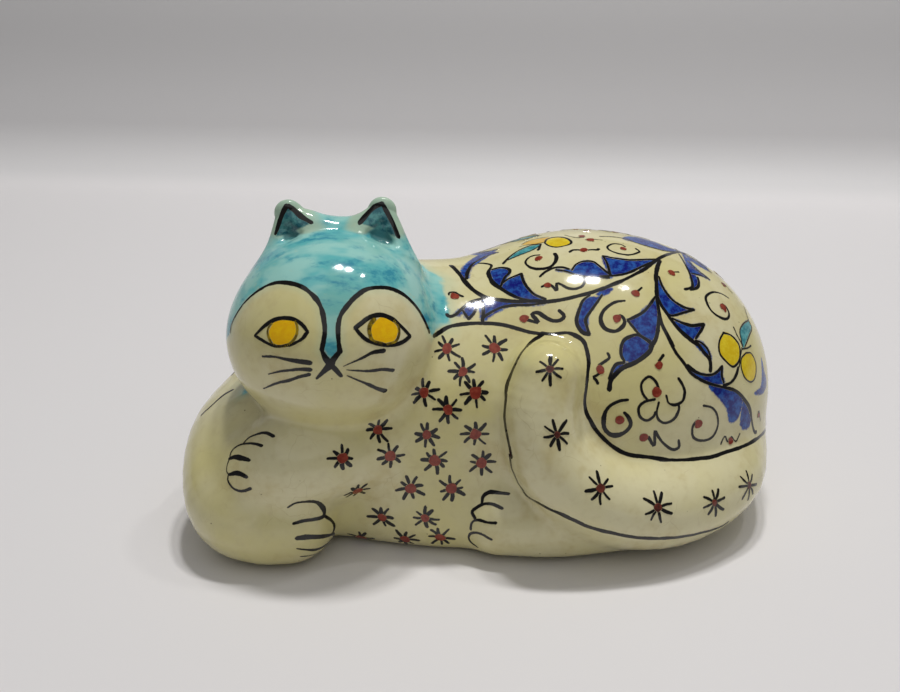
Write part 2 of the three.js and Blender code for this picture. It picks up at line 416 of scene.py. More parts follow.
def skinMarks(points):
    # What the glaze's material reads at each point of the skin
    part = partDistances(points)
    ears = np.minimum(part["rightEar"], part["leftEar"])
    hollow = np.zeros(len(points))
    for name in ("rightEar", "leftEar"):
        base, tip = (np.array(v, float) for v in clay[name])
        depth = -taperedCapsule(points, base, tip, *clay["earCone"])
        front = smoothStep(depth, *wash["hollowDepth"]) * smoothStep(points[:, 2], *wash["hollowHeight"])
        hollow = np.maximum(hollow, front)
    rim = smoothStep(ears, *wash["rimWidth"]) * smoothStep(points[:, 2], *wash["rimHeight"]) * (1 - hollow)
    return {"wash": washDepth(points, part), "earHollow": hollow, "earRim": rim}


def buildPieces():
    points, faces = meshSkin(skin["cell"])
    points, _ = settle(points, 3)
    middles = points[faces].mean(axis=1)
    part = partDistances(middles)
    names = list(pieces)
    label = np.argmin([part[name] for name in names], axis=0)
    label[(middles[:, 2] < skin["footHeight"]) & (part["body"] < -skin["footRim"])] = -1
    touches = np.zeros((len(names) + 1, len(points)), bool)
    for k in range(-1, len(names)):
        touches[k, np.unique(faces[label == k])] = True
    for i, a in enumerate(names):
        for j, b in enumerate(names[:i]):
            seam = touches[i] & touches[j]
            if seam.any():
                lineUp(points, seam, lambda p: partDistances(p)[a] - partDistances(p)[b])
    opening = touches[-1] & touches[names.index("body")]
    lineUp(points, opening, lambda p: partDistances(p)["body"] + skin["footRim"])
    for k, name in enumerate(names):
        facts = pieces[name]
        front, quads = compact(points, faces[label == k])
        if "Ear" in name:
            front, quads = refine(front, quads)
        front, outward = settle(front, 2)
        solid, normals, shell = thicken(front, outward, quads, facts["wall"])
        marks = {key: np.tile(value, 2) for key, value in skinMarks(front).items()}
        piece = addPiece(name, solid, normals, shell, materials["glaze"], marks)
        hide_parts(facts["node"])
    print("pieces", names)


# Paint, in millimetres. The lines are brush strokes, and a patch fills an outline. Each is a film on the
# skin.
paint = {
    "spacing": 0.7,  # along a stroke
    "across": (-1, -0.55, 0, 0.55, 1),  # the points across it, in half widths
    "load": 1.2,  # how many times its tip's width a full brush lays
    "wobble": 0.11, "wobbleEvery": 4, "wobbleLimits": (0.75, 1.25),  # how uneven a line's width is
    "margin": {"line": 0.1, "dot": 0.12, "patch": 1.7},  # film beyond the edge, where the colour breaks up
    "patchCell": 0.6,  # the width of a quad of a patch, then of a dot
    "dotCell": 0.3,
    "dotPoints": 7, "dotSpread": 0.1,  # points round a dot, and more film beyond its edge
    "uneven": (0.78, 1.15),  # how much a dot's radius and a ray's length vary
    "film": 0.25,  # how deep the film reaches under the skin
    "lift": {"patch": 0.08, "line": 0.19, "dot": 0.25},  # how far its middle stands up from the skin
    "sink": 0.02,  # how far its rim is below the skin
}


def resample(path, spacing):
    length = np.concatenate([[0], np.cumsum(np.linalg.norm(np.diff(path, axis=0), axis=1))])
    count = max(int(round(length[-1] / spacing)), 3)
    at = np.linspace(0, length[-1], count + 1)
    return np.stack([np.interp(at, length, path[:, k]) for k in range(3)], 1), at


def guided(guide, lines):
    # Lines of spots as lines of points of the skin
    points = onSkin(guide, np.vstack([np.array(line, float) for line in lines]))
    return np.split(points, np.cumsum([len(line) for line in lines])[:-1])


def layStrokes(name, widths, lines, slot, colour):
    # A ribbon along each line, rounded at its ends by the edge attribute
    margin, chance = paint["margin"]["line"], np.random.default_rng(len(lines))
    wide, every = len(paint["across"]), paint["wobbleEvery"]
    paths, halves, pasts, quads, total = [], [], [], [], 0
    for width, line in zip(widths, lines):
        path, at = resample(spline(line, 6), paint["spacing"])
        half = np.interp(at / at[-1], [0, 0.5, 1], width) * paint["load"] / 2
        knots = np.clip(chance.normal(1, paint["wobble"], len(at) // every + 2), *paint["wobbleLimits"])
        half = half * np.interp(np.arange(len(at)), every * np.arange(len(knots)), knots)
        first, last = path[0] - path[1], path[-1] - path[-2]
        extra = half[[0, -1]] + margin
        paths.append(np.vstack([path[0] + first / np.linalg.norm(first) * extra[0], path,
                                path[-1] + last / np.linalg.norm(last) * extra[1]]))
        pasts.append(np.concatenate([[extra[0]], np.zeros(len(at)), [extra[1]]]))
        halves.append(np.concatenate([half[:1], half, half[-1:]]))
        rows = len(half) + 2
        corner = (np.arange(rows - 1)[:, None] * wide + np.arange(wide - 1)).ravel() + total
        quads.append(np.stack([corner, corner + wide, corner + wide + 1, corner + 1], 1))
        total += rows * wide
    path, normal = settle(np.vstack(paths), 2)
    forward = np.vstack([np.gradient(line, axis=0) for line in paths])
    side = np.cross(normal, forward)
    side /= np.linalg.norm(side, axis=1)[:, None]
    half, past = np.concatenate(halves), np.concatenate(pasts)
    out = (half + margin)[:, None] * np.array(paint["across"])
    points = (path[:, None] + out[:, :, None] * side[:, None]).reshape(-1, 3)
    edge = (half[:, None] - np.hypot(out, past[:, None])).ravel()
    film(name, points, edge, np.vstack(quads), slot, colour, "line")


def fillOutline(outline, cell, margin):
    # A flat grid of quads over an outline and its margin, and each point's distance inside the outline
    closed = spline([outline[-1], *outline, outline[0], outline[1]], 4)[4:-4]
    low, high = closed.min(axis=0) - margin - cell, closed.max(axis=0) + margin + cell
    xs, ys = np.arange(low[0], high[0], cell), np.arange(low[1], high[1], cell)
    spots = np.stack(np.meshgrid(xs, ys, indexing="ij"), -1).reshape(-1, 2)
    edge = insideOutline(spots, closed)
    corner = (np.arange(len(xs) - 1)[:, None] * len(ys) + np.arange(len(ys) - 1)).ravel()
    grid = np.stack([corner, corner + len(ys), corner + len(ys) + 1, corner + 1], 1)
    used, grid = np.unique(grid[(edge[grid] > -margin).all(axis=1)], return_inverse=True)
    return spots[used], edge[used], grid.reshape(-1, 4)


def layPatches(name, guide, outlines, slot, colour):
    # scale is the millimetres to a degree, near enough
    away = onSkin(guide, outlines[0]) - guides[guide]["centre"]
    scale = np.radians(1) * np.linalg.norm(away, axis=1).mean()
    cell, margin = paint["patchCell"] / scale, paint["margin"]["patch"] / scale
    spots, edges, quads = joined([fillOutline(outline, cell, margin) for outline in outlines])
    film(name, onSkin(guide, spots), edges * scale, quads, slot, colour, "patch")


def joined(patches):
    # Several patches as one: points, distances inside the outline, quads
    starts = np.cumsum([0] + [len(spots) for spots, _, _ in patches])
    quads = [grid + start for (_, _, grid), start in zip(patches, starts)]
    return np.vstack([p[0] for p in patches]), np.concatenate([p[1] for p in patches]), np.vstack(quads)


def layDots(name, centres, radii, slot, colour, seed):
    # Dabs of a round brush, none of them quite round
    chance, count = np.random.default_rng(seed), paint["dotPoints"]
    patches = []
    for centre, radius in zip(centres, radii):
        right, up = flatAxes(centre)
        turn = np.arange(count) * 2 * math.pi / count + chance.uniform(0, 1)
        size = radius * chance.uniform(*paint["uneven"], count)
        outline = np.stack([size * np.cos(turn), size * np.sin(turn)], 1)
        margin = paint["margin"]["dot"] + paint["dotSpread"]
        spots, edge, grid = fillOutline([tuple(v) for v in outline], paint["dotCell"], margin)
        patches.append((centre + spots[:, :1] * right + spots[:, 1:] * up, edge, grid))
    film(name, *joined(patches), slot, colour, "dot")


def flatAxes(point):
    # Rightwards and upwards along the skin at a point
    _, normal = settle(point[None], 1)
    right = np.cross((0, 0, 1), normal[0])
    right /= np.linalg.norm(right)
    return right, np.cross(normal[0], right)


def film(name, points, edges, quads, slot, colour, level):
    # A thin closed skin of paint, raised where it has colour
    points, normals = settle(points, 3)
    margin = paint["margin"][level]
    lift = paint["lift"][level] * smoothStep(edges, -1.2 * margin, -0.3 * margin) - paint["sink"]
    points = points + lift[:, None] * normals
    a, b, c = (points[quads[:, k]] for k in range(3))
    turned = np.einsum("ij,ij->i", np.cross(b - a, c - a), normals[quads[:, 0]]) < 0
    quads[turned] = quads[turned][:, ::-1]
    marks = {key: np.tile(value, 2) for key, value in skinMarks(points).items()}
    marks["edge"] = np.tile(edges, 2)
    solid, normals, shell = thicken(points, normals, quads, paint["film"])
    piece = addPiece(name, solid, normals, shell, materials[colour], marks)


# Brush strokes: (width at the start, middle and end in millimetres, spots)
brushwork = {
    # The rim of each half of the face, and the mouth that crosses under the nose
    "faceRims": {"guide": "face", "slot": "black_paint", "colour": "blackLine", "strokes": [
        ((0.5, 1.2, 1.4), [(-63, -1.5), (-63, 4), (-59.5, 11.5), (-53.5, 20.5), (-44, 29), (-34, 34),
            (-23.5, 34.5), (-14, 32), (-6.5, 26.5), (-2.3, 20.5), (-0.5, 13.5), (0, 7), (-1.5, -1.5)]),
        ((1.0, 1.9, 1.1), [(-1.5, -2), (0.5, -6), (2.5, -8.5), (5, -11.5), (7.5, -15)]),
        ((1.4, 1.2, 1.2), [(7.5, -2.5), (7, 3), (7, 10), (8.5, 16), (12.5, 21.5), (17.5, 26.5),
            (24, 30.5), (32.5, 31.5), (41.5, 30), (50.3, 25), (57.8, 16.5), (62.5, 7), (65.5, -2.5)]),
        ((1.3, 2.0, 0.7), [(7.5, -2.5), (4, -6.5), (3, -8.5), (-0.5, -12), (-4.5, -16)]),
    ]},
    # Whiskers, thin at the start of the stroke
    "whiskers": {"guide": "face", "slot": "black_paint", "colour": "blackLine", "strokes": [
        ((0.5, 0.9, 1.3), [(-33.5, -7.5), (-26.5, -6.5), (-20, -7), (-13.5, -7.5), (-7.5, -8)]),
        ((0.3, 0.8, 1.2), [(-30, -16.5), (-24, -14), (-18, -12.5), (-12.5, -11.5), (-7.5, -11.5)]),
        ((0.3, 0.8, 1.1), [(-34.5, -26.5), (-26, -21), (-18.5, -18), (-13, -15.5), (-8, -14)]),
        ((0.2, 0.8, 1.2), [(9, -10), (13, -8.5), (19, -6.5), (24.5, -4.5), (30.5, -4.5)]),
        ((0.2, 0.8, 1.1), [(10.5, -12), (16, -13), (22, -14), (29, -14.5), (35, -16.5)]),
        ((0.3, 0.8, 1.4), [(10.5, -15), (15.5, -18), (21, -21.5), (25.5, -25), (30, -28)]),
    ]},
    # Upper and lower lid of each eye
    "eyeLids": {"guide": "face", "slot": "black_paint", "colour": "blackLine", "strokes": [
        ((0.8, 1.3, 1.0), [(-39.5, 2.5), (-35.5, 7), (-31.5, 10.5), (-27, 13), (-22, 14), (-16.5, 13.5),
            (-12, 11), (-9, 7.5)]),
        ((0.8, 0.8, 1.0), [(-39.5, 2.5), (-34.5, 1), (-29.5, -0.5), (-25, -1), (-20, 0), (-15.5, 1.5),
            (-11.5, 4), (-9, 7.5)]),
        ((1.4, 1.3, 1.0), [(16, 9), (19, 11), (24, 14), (29.5, 15), (34, 14), (39.5, 10.5), (43.5, 6),
            (48, 0)]),
        ((1.2, 1.0, 1.2), [(16, 9), (18.5, 5.5), (21.5, 2.5), (26, 0), (31, -1.5), (36.5, -2.5),
            (42.5, -2), (48, 0)]),
    ]},
    # Dry strokes round each iris
    "eyeRings": {"guide": "face", "slot": "black_paint", "colour": "oliveLine", "strokes": [
        ((0.7, 0.7, 0.7), [(-29.5, 10.5), (-31.5, 7), (-30.5, 3), (-28, 0)]),
        ((0.7, 0.9, 0.7), [(-16, 13), (-14.5, 9), (-15, 5), (-18, 1), (-23, -1), (-27, -0.5)]),
        ((1.2, 1.1, 1.0), [(27, 13), (24, 9.5), (23.5, 5.5), (25, 1.5), (30, -1)]),
        ((0.8, 1.1, 0.9), [(38.5, 11), (41, 7), (40.5, 2.5), (37.5, -1), (32, -1.5)]),
    ]},
    # Two strokes inside each ear
    "earLines": {"guide": "ears", "slot": "black_paint", "colour": "blackLine", "strokes": [
        ((1.7, 1.4, 1.2), [(-17, 9.5), (-18.5, 7), (-20, 3), (-21, -0.5)]),
        ((1.4, 1.8, 1.4), [(-16.5, 9.5), (-14.5, 8), (-11.5, 5.5), (-8, 3.5)]),
        ((1.2, 1.7, 1.9), [(17.5, 10.5), (14.5, 9), (12, 6.5), (9.5, 3.5)]),
        ((1.3, 1.6, 1.6), [(17.5, 10.5), (19, 7.5), (21, 3), (22.5, -1.5)]),
    ]},
    "shoulderLine": {"guide": "paws", "slot": "black_paint", "colour": "blackLine", "strokes": [
        ((1.2, 1.0, 0.7), [(-55, 70.5), (-61, 64), (-64.5, 57), (-68.5, 48.5), (-75, 38)]),
    ]},
    # The line that parts the plain chest from the decorated back
    "saddleFront": {"guide": "front", "slot": "black_paint", "colour": "blackLine", "strokes": [
        ((1.2, 1.2, 1.2), [(-12, 35.5), (-11, 37), (-8, 40), (-4, 41.5), (1.5, 42.5), (8, 42.5),
            (13, 41.5), (17.5, 39.5), (21, 37.5), (24, 36)]),
    ]},
    # It goes on over the haunch and round the tail
    "saddleLines": {"guide": "flank", "slot": "black_paint", "colour": "blackLine", "strokes": [
        ((1.2, 1.2, 1.0), [(-17.5, 8), (-14, 7.5), (-9.5, 8), (-6.5, 7), (-4, 5), (-3, 2), (-2.5, -2),
            (-3, -6), (-3.5, -10.5), (-4, -14.5), (-3.5, -18.5), (-2, -21.5), (0.5, -25.5), (4.5, -29.5),
            (9, -32.5), (13.5, -34), (20, -34.5), (26.5, -35), (33.5, -34.5), (39, -33.5), (43.5, -32.5),
            (49, -30.5), (55, -28.5), (62, -26), (70, -23), (77, -20.5)]),
        ((1.5, 1.5, 1.1), [(-17, 7.5), (-20, 5), (-22, 2), (-24, -2), (-26, -5.5), (-27.5, -9.5),
            (-27.5, -14), (-28, -18), (-27.5, -22), (-26.5, -25.5), (-25.5, -30), (-26.5, -30.5),
            (-23.5, -43.5), (-17.5, -44), (-11, -45.5), (-7, -47), (-2, -49), (4, -50.5), (11, -52),
            (17.5, -52.5), (25.5, -52.5), (33.5, -52), (41.5, -51.5), (45.5, -50)]),
    ]},
    # The same line round the far side
    "farBorder": {"guide": "farFlank", "slot": "black_paint", "colour": "blackLine", "strokes": [
        ((1.0, 1.2, 1.0), [(-103, 1), (-88.5, -6), (-69.5, -18), (-48.5, -28), (-25, -36), (7, -39),
            (38.5, -34), (58.5, -25.5), (70.5, -15.5), (78.5, -5.5), (85, 3.5), (91, 11.5)]),
    ]},
    # Toes of the upper paw, then of the lower one
    "foreToes": {"guide": "paws", "slot": "black_paint", "colour": "blackLine", "strokes": [
        ((0.5, 0.9, 1.1), [(-15, 29.5), (-12.5, 32.5), (-7.5, 34.5), (-2.5, 35), (2, 33)]),
        ((0.4, 0.6, 1.0), [(-22, 21.5), (-22, 24), (-19.5, 27), (-15, 29), (-9, 29.5), (-3.5, 28.5)]),
        ((0.8, 1.9, 0.9), [(-22.5, 20.5), (-19, 22), (-14, 22), (-9.5, 21.5)]),
        ((0.5, 0.3, 0.4), [(-22, 20.5), (-23, 17.5), (-23, 14.5), (-21.5, 13)]),
        ((0.9, 1.4, 1.3), [(-21, 13), (-17, 14.5), (-14, 14.5), (-11, 13.5)]),
        ((0.5, 0.6, 1.0), [(-21.5, 12.5), (-21.5, 10), (-18.5, 7), (-15, 6), (-12, 6.5), (-9, 8)]),
        ((0.6, 1.5, 0.8), [(8, -2), (12, 0.5), (17.5, 0.5), (22.5, -2), (26.5, -10), (25.5, -13.5),
            (20.5, -12), (15, -10.5), (10, -10.5)]),
        ((0.9, 1.2, 1.7), [(26.5, -14), (30.5, -20), (32, -26), (29.5, -29), (24.5, -24), (16.5, -18.5),
            (11, -17)]),
        ((1.0, 1.2, 0.6), [(29.5, -29), (31.5, -34), (28.5, -35.5), (20, -29), (14.5, -24.5),
            (10.5, -22)]),
        ((0.6, 0.5, 0.4), [(30.5, -35), (28.5, -38), (22.5, -36.5), (17, -31), (11.5, -27.5)]),
    ]},
    "hindToes": {"guide": "front", "slot": "black_paint", "colour": "blackLine", "strokes": [
        ((0.9, 1.1, 1.0), [(14, -19.5), (10.5, -19.5), (7.5, -19.5), (5, -21), (4.5, -23)]),
        ((1.0, 1.0, 0.9), [(11, -23), (8, -22.5), (5, -23), (2.5, -24.5), (1, -26), (2, -27.5)]),
        ((0.9, 0.8, 0.7), [(8.5, -26.5), (6, -27), (3, -27.5), (1, -29), (0.5, -31.5)]),
        ((0.9, 0.8, 0.6), [(7, -31.5), (4, -31), (1.5, -32), (0, -34), (0.5, -36.5), (3, -37.5)]),
    ]},
    # The scroll's stems
    "stems": {"guide": "flank", "slot": "black_paint", "colour": "blackLine", "strokes": [
        ((1.6, 1.2, 1.2), [(-45, 34.5), (-42.5, 31), (-40.5, 27.5), (-38.5, 24.5), (-36.5, 22.5),
            (-34, 21), (-30.5, 20.5), (-25.5, 20), (-19.5, 20), (-15.5, 19.5), (-10.5, 20), (-6, 21),
            (-0.5, 22.5), (4.5, 24.5), (2.5, 23.5), (6.5, 25.5), (10.5, 27.5), (14.5, 30), (19.5, 33.5),
            (23.5, 37.5), (28.5, 42), (34.5, 46.5), (40, 50.5)]),
        ((1.4, 1.0, 1.0), [(26.5, 39), (24.5, 35), (23, 30.5), (22.5, 26), (22, 22), (22, 17.5),
            (22.5, 12.5), (24.5, 8), (26.5, 4), (25.5, 5.5), (27.5, 2), (30.5, -1.5), (33, -4.5),
            (37, -6.5), (41, -7.5), (45.5, -8), (50.5, -8.5), (55, -10.5), (59.5, -13.5), (62.5, -18),
            (65, -22), (66.5, -22)]),
    ]},
    # Outlines and veins of its leaves
    "leafLines": {"guide": "flank", "slot": "black_paint", "colour": "blackLine", "strokes": [
        ((0.5, 0.9, 1.2), [(-33.5, 47.5), (-38, 44.5), (-40.5, 38.5), (-40.5, 32), (-40, 28.5)]),
        ((0.8, 1.4, 1.0), [(-39, 39), (-37, 39), (-34.5, 37.5), (-35, 34), (-34.5, 31.5), (-33, 28),
            (-30.5, 25.5), (-27.5, 23), (-24, 21), (-20.5, 20)]),
        ((0.9, 1.1, 0.8), [(-34, 35), (-31.5, 36), (-28.5, 35), (-28, 33), (-29.5, 30.5), (-30.5, 26.5)]),
        ((0.7, 0.8, 0.9), [(-30, 28), (-28, 30), (-24, 32)]),
        ((0.9, 0.9, 0.9), [(-24, 32), (-23, 28), (-21.5, 25), (-19.5, 22.5), (-16, 20.5)]),
        ((1.0, 1.2, 1.2), [(-35, 19), (-34.5, 15.5), (-34.5, 12)]),
        ((0.9, 1.0, 0.7), [(-34.5, 13), (-33, 15), (-30, 17.5), (-26, 18.5), (-21.5, 18.5), (-16, 19)]),
        ((1.2, 1.1, 1.2), [(-41.5, 12.5), (-41, 12), (-40, 13), (-39, 15.5), (-37.5, 18.5), (-35, 20.5),
            (-33, 21)]),
        ((0.6, 1.0, 0.9), [(-39, 15), (-38, 13), (-37.5, 12)]),
        ((0.9, 0.8, 0.7), [(-37.5, 12), (-36.5, 14.5), (-36, 18.5)]),
        ((0.9, 0.9, 0.8), [(-17.5, 30), (-15.5, 32), (-12.5, 33.5), (-9.5, 33.5), (-7.5, 32.5)]),
        ((0.6, 0.8, 0.8), [(-6.5, 32), (-5, 34.5), (-2.5, 36), (1, 36), (3, 34), (5, 31.5), (7, 29.5)]),
        ((0.6, 0.8, 0.9), [(-12, 32.5), (-8.5, 31.5), (-5.5, 30), (-2, 29), (2.5, 28.5), (6.5, 28.5),
            (2.5, 29), (8, 29.5), (13, 31), (18.5, 34.5), (25.5, 39)]),
        ((0.7, 0.9, 0.9), [(5, 39), (6, 35.5), (6.5, 30)]),
        ((0.8, 0.8, 0.8), [(5, 39), (9, 38), (14.5, 37.5), (20.5, 38.5), (25.5, 39.5)]),
        ((0.7, 1.1, 1.2), [(-1, 21.5), (-3.5, 19.5), (-5, 16), (-6, 12.5), (-5.5, 10), (-4, 8),
            (-2, 7.5)]),
        ((0.7, 0.9, 1.0), [(3, 21.5), (1, 18.5), (-1.5, 15), (-3, 12.5), (-2.5, 9.5), (-2, 7.5)]),
        ((0.8, 1.1, 0.9), [(24, 30.5), (24.5, 26.5), (26, 23), (28, 20.5), (31.5, 18.5), (35, 18)]),
        ((0.9, 0.9, 0.7), [(35, 18), (31, 16.5), (27, 15), (25, 15.5)]),
        ((0.6, 1.3, 1.2), [(23, 30.5), (22, 24.5), (23, 19), (25, 15.5), (26.5, 13), (29, 10), (32, 7.5),
            (35, 5.5), (34.5, 6.5), (37.5, 3), (39.5, 1), (40, -1), (40, -3)]),
        ((0.8, 1.0, 1.2), [(26.5, 14), (29, 13), (33, 12), (36, 12.5), (38, 13)]),
        ((1.1, 1.0, 0.8), [(38, 13), (37, 11), (34.5, 7.5)]),
        ((0.5, 0.9, 0.6), [(34.5, 7), (37, 6), (39, 4), (40, 1)]),
        ((0.8, 1.0, 0.8), [(21.5, 22), (19.5, 19), (17, 16), (14, 14), (11, 12.5)]),
        ((0.8, 0.9, 0.8), [(11, 12.5), (12.5, 10.5), (15, 7.5), (18.5, 5.5)]),
        ((0.8, 1.1, 1.2), [(22, 20.5), (22, 15.5), (21.5, 11), (20.5, 6.5), (18.5, 3.5)]),
        ((0.9, 1.2, 0.8), [(9.5, -1.5), (8.5, 0.5), (8.5, 3), (9.5, 5.5), (12, 7), (14.5, 7.5), (17, 6),
            (19.5, 4)]),
        ((1.0, 1.3, 1.4), [(21.5, 9.5), (20, 6), (18.5, 2.5), (16, 0), (13, -2), (9.5, -3.5), (7, -5.5),
            (5, -8), (4.5, -11)]),
        ((0.9, 1.0, 1.0), [(9.5, -2), (7, -2.5), (5.5, -4.5), (4.5, -7.5)]),
        ((1.2, 1.0, 0.9), [(31.5, -2), (35, -4), (39, -4.5), (42, -3.5), (44.5, -1)]),
        ((0.8, 0.9, 0.7), [(44.5, -1), (44.5, -4), (45.5, -6.5)]),
        ((1.0, 1.1, 0.9), [(45.5, -7.5), (48.5, -6), (50.5, -3.5), (51.5, -0.5)]),
        ((0.8, 0.6, 0.5), [(55, -11), (58.5, -13.5), (61.5, -17), (63, -19.5)]),
        ((0.7, 0.8, 1.0), [(37.5, 47), (37, 40), (37, 33.5), (36.5, 28.5), (35.5, 27), (33, 26)]),
        ((0.5, 0.7, 0.6), [(39.5, 42.5), (41.5, 37.5), (45.5, 33.5)]),
        ((0.6, 0.7, 0.7), [(45.5, 33.5), (41, 34.5), (38, 34.5)]),
        ((0.9, 1.0, 0.8), [(40, 33), (39.5, 30), (38, 27.5), (35, 26)]),
        ((0.5, 0.7, 0.7), [(6, 53), (10.5, 53.5), (15.5, 53), (20, 50), (26.5, 47.5), (32.5, 47),
            (38.5, 49.5)]),
        ((0.4, 0.5, 0.6), [(41.5, 50.5), (45.5, 46.5), (49.5, 39.5)]),
    ]},
    # Spirals, squiggles and the open flower
    "curls": {"guide": "flank", "slot": "black_paint", "colour": "blackLine", "strokes": [
        ((0.6, 1.1, 1.0), [(-17.5, 41), (-20, 41), (-22, 39.5), (-22.5, 37), (-20.5, 34.5), (-17.5, 33.5),
            (-14, 34), (-12, 36.5), (-11.5, 39), (-12, 41)]),
        ((1.0, 0.6, 1.0), [(-6.5, 41.5), (-5.5, 42.5), (-3, 42.5), (-1.5, 42), (1, 42.5), (3.5, 42.5),
            (4, 43)]),
        ((0.5, 0.4, 0.3), [(0, 49.5), (3, 50), (6.5, 49.5)]),
        ((0.3, 0.4, 0.4), [(-7.5, 55), (-5.5, 53), (-2.5, 51.5), (0, 52)]),
        ((1.0, 0.9, 0.8), [(-17, 25.5), (-15, 26.5), (-13.5, 25.5), (-12, 23.5), (-12, 26.5), (-10.5, 26),
            (-8.5, 24.5), (-6, 24), (-3.5, 25), (-2.5, 27), (-3, 29)]),
        ((0.9, 1.3, 1.0), [(-22, 13), (-18.5, 12), (-20.5, 15), (-18.5, 15.5), (-16.5, 14), (-14, 12.5),
            (-11.5, 12.5), (-10, 14), (-11.5, 16)]),
        ((0.6, 0.8, 0.8), [(-42, 19.5), (-42, 20.5), (-41, 21), (-40.5, 20.5), (-39.5, 20)]),
        ((0.5, 0.8, 0.7), [(14.5, 45.5), (13, 47), (10, 47), (7.5, 44.5), (8.5, 42), (12, 40.5),
            (15.5, 40.5), (19, 42.5), (19.5, 43.5), (18.5, 45)]),
        ((0.8, 0.6, 0.7), [(15.5, 23.5), (17, 25)]),
        ((0.7, 0.5, 0.6), [(30.5, 33.5), (32.5, 34)]),
        ((0.8, 1.3, 0.9), [(10.5, 19.5), (7.5, 19), (5, 17.5), (3, 15.5), (2, 13), (2.5, 10.5), (4, 9),
            (6.5, 8.5), (8.5, 9.5), (10, 11.5), (9.5, 13.5), (8.5, 14)]),
        ((0.5, 1.0, 0.8), [(52, 26.5), (48.5, 27.5), (44.5, 27), (41, 24.5), (40.5, 22), (41.5, 19),
            (44, 17), (47.5, 16.5), (49.5, 18.5), (49, 21.5), (47.5, 22.5)]),
        ((0.5, 0.5, 0.4), [(54, 35), (55, 33), (56.5, 31)]),
        ((0.9, 0.8, 0.8), [(21.5, -1), (23, 1)]),
        ((0.8, 0.9, 0.8), [(4, 1), (4.5, -0.5), (2.5, -2), (1, -3)]),
        ((0.7, 0.9, 1.0), [(2, -5), (0, -6.5), (-1, -7), (0, -8), (0.5, -9)]),
        ((0.8, 0.9, 0.9), [(18, -14.5), (16, -12), (15.5, -9), (17, -7), (18.5, -6.5), (20.5, -8),
            (21.5, -10)]),
        ((0.9, 0.9, 0.9), [(20.5, -14), (17, -15), (15, -17), (15.5, -20), (18, -21.5), (20.5, -20),
            (21, -18.5)]),
        ((0.7, 0.9, 0.9), [(22, -15), (21.5, -18.5), (22.5, -21), (25, -22), (28, -20.5), (29.5, -17),
            (29, -15)]),
        ((0.7, 0.9, 0.8), [(24.5, -12.5), (25.5, -15), (28, -15.5), (30.5, -14), (31, -11), (30, -8.5),
            (28.5, -6.5)]),
        ((0.8, 1.4, 1.0), [(11, -14.5), (8, -15), (4.5, -17), (3, -20), (3, -24), (5, -26.5), (8, -27),
            (11, -25.5), (12.5, -23), (11.5, -20.5), (10, -19)]),
        ((0.9, 0.9, 0.8), [(19.5, -27.5), (22, -30.5), (21.5, -25), (23, -27), (25.5, -29.5), (29, -31.5),
            (31.5, -30.5), (31, -28)]),
        ((0.6, 0.9, 0.8), [(38.5, -15), (42, -15.5), (44.5, -18), (45.5, -22), (44, -26), (40, -27.5),
            (36.5, -26.5), (35.5, -23.5), (36, -21.5), (37, -20.5)]),
        ((0.6, 0.6, 0.6), [(48, -28), (49.5, -25), (51, -27), (52.5, -25), (54.5, -26.5), (56.5, -23.5)]),
        ((0.4, 0.5, 0.4), [(66.5, -16.5), (66.5, -14), (69.5, -17.5)]),
    ]},
    # Outlines of the fruits and their leaves
    "fruitLines": {"guide": "flank", "slot": "black_paint", "colour": "blackLine", "strokes": [
        ((0.7, 0.7, 0.7), [(45.5, 11), (49, 10.5), (52, 8), (52.5, 4.5), (51.5, 1.5), (49, -0.5), (46, 1),
            (43.5, 3.5), (43.5, 7.5), (45.5, 11)]),
        ((0.5, 0.5, 0.5), [(55.5, 5.5), (58.5, 6), (61, 3.5), (61.5, 0.5), (60.5, -3), (58, -4.5),
            (55, -3.5), (53, -0.5), (53, 3), (55.5, 5.5)]),
        ((0.5, 0.5, 0.5), [(53.5, 7), (52.5, 3.5), (52, 0)]),
        ((0.6, 0.6, 0.6), [(53.5, 6.5), (56.5, 7.5), (59, 9)]),
        ((0.5, 0.5, 0.5), [(50.5, 14), (51.5, 11.5), (53.5, 8.5), (54, 7.5)]),
        ((0.4, 0.5, 0.5), [(62, 26.5), (61, 21.5), (61, 20), (56.5, 17), (53.5, 13.5), (53.5, 10),
            (54, 7.5)]),
        ((0.5, 0.5, 0.4), [(61, 20), (62, 17), (58.5, 12.5), (55, 7.5)]),
        ((0.7, 0.8, 0.7), [(-15.5, 49), (-14.5, 52.5), (-10.5, 53.5), (-7, 51.5), (-5.5, 48), (-7, 46),
            (-11, 45), (-14, 46.5), (-15.5, 49)]),
        ((0.3, 0.3, 0.3), [(-24.5, 51), (-22, 53.5), (-18.5, 54.5), (-14, 54.5)]),
        ((0.4, 0.4, 0.3), [(-16, 49.5), (-19, 49), (-22.5, 49.5), (-25.5, 49)]),
        ((1.0, 0.6, 0.6), [(-30.5, 38.5), (-28.5, 42.5), (-25.5, 46), (-21, 48.5), (-17, 48.5)]),
        ((0.5, 0.5, 0.5), [(-29.5, 40), (-26, 42), (-21.5, 44), (-18, 46.5), (-17, 48.5)]),
        ((0.7, 0.8, 1.0), [(-17, 48.5), (-17.5, 46), (-18, 44.5)]),
    ]},
}

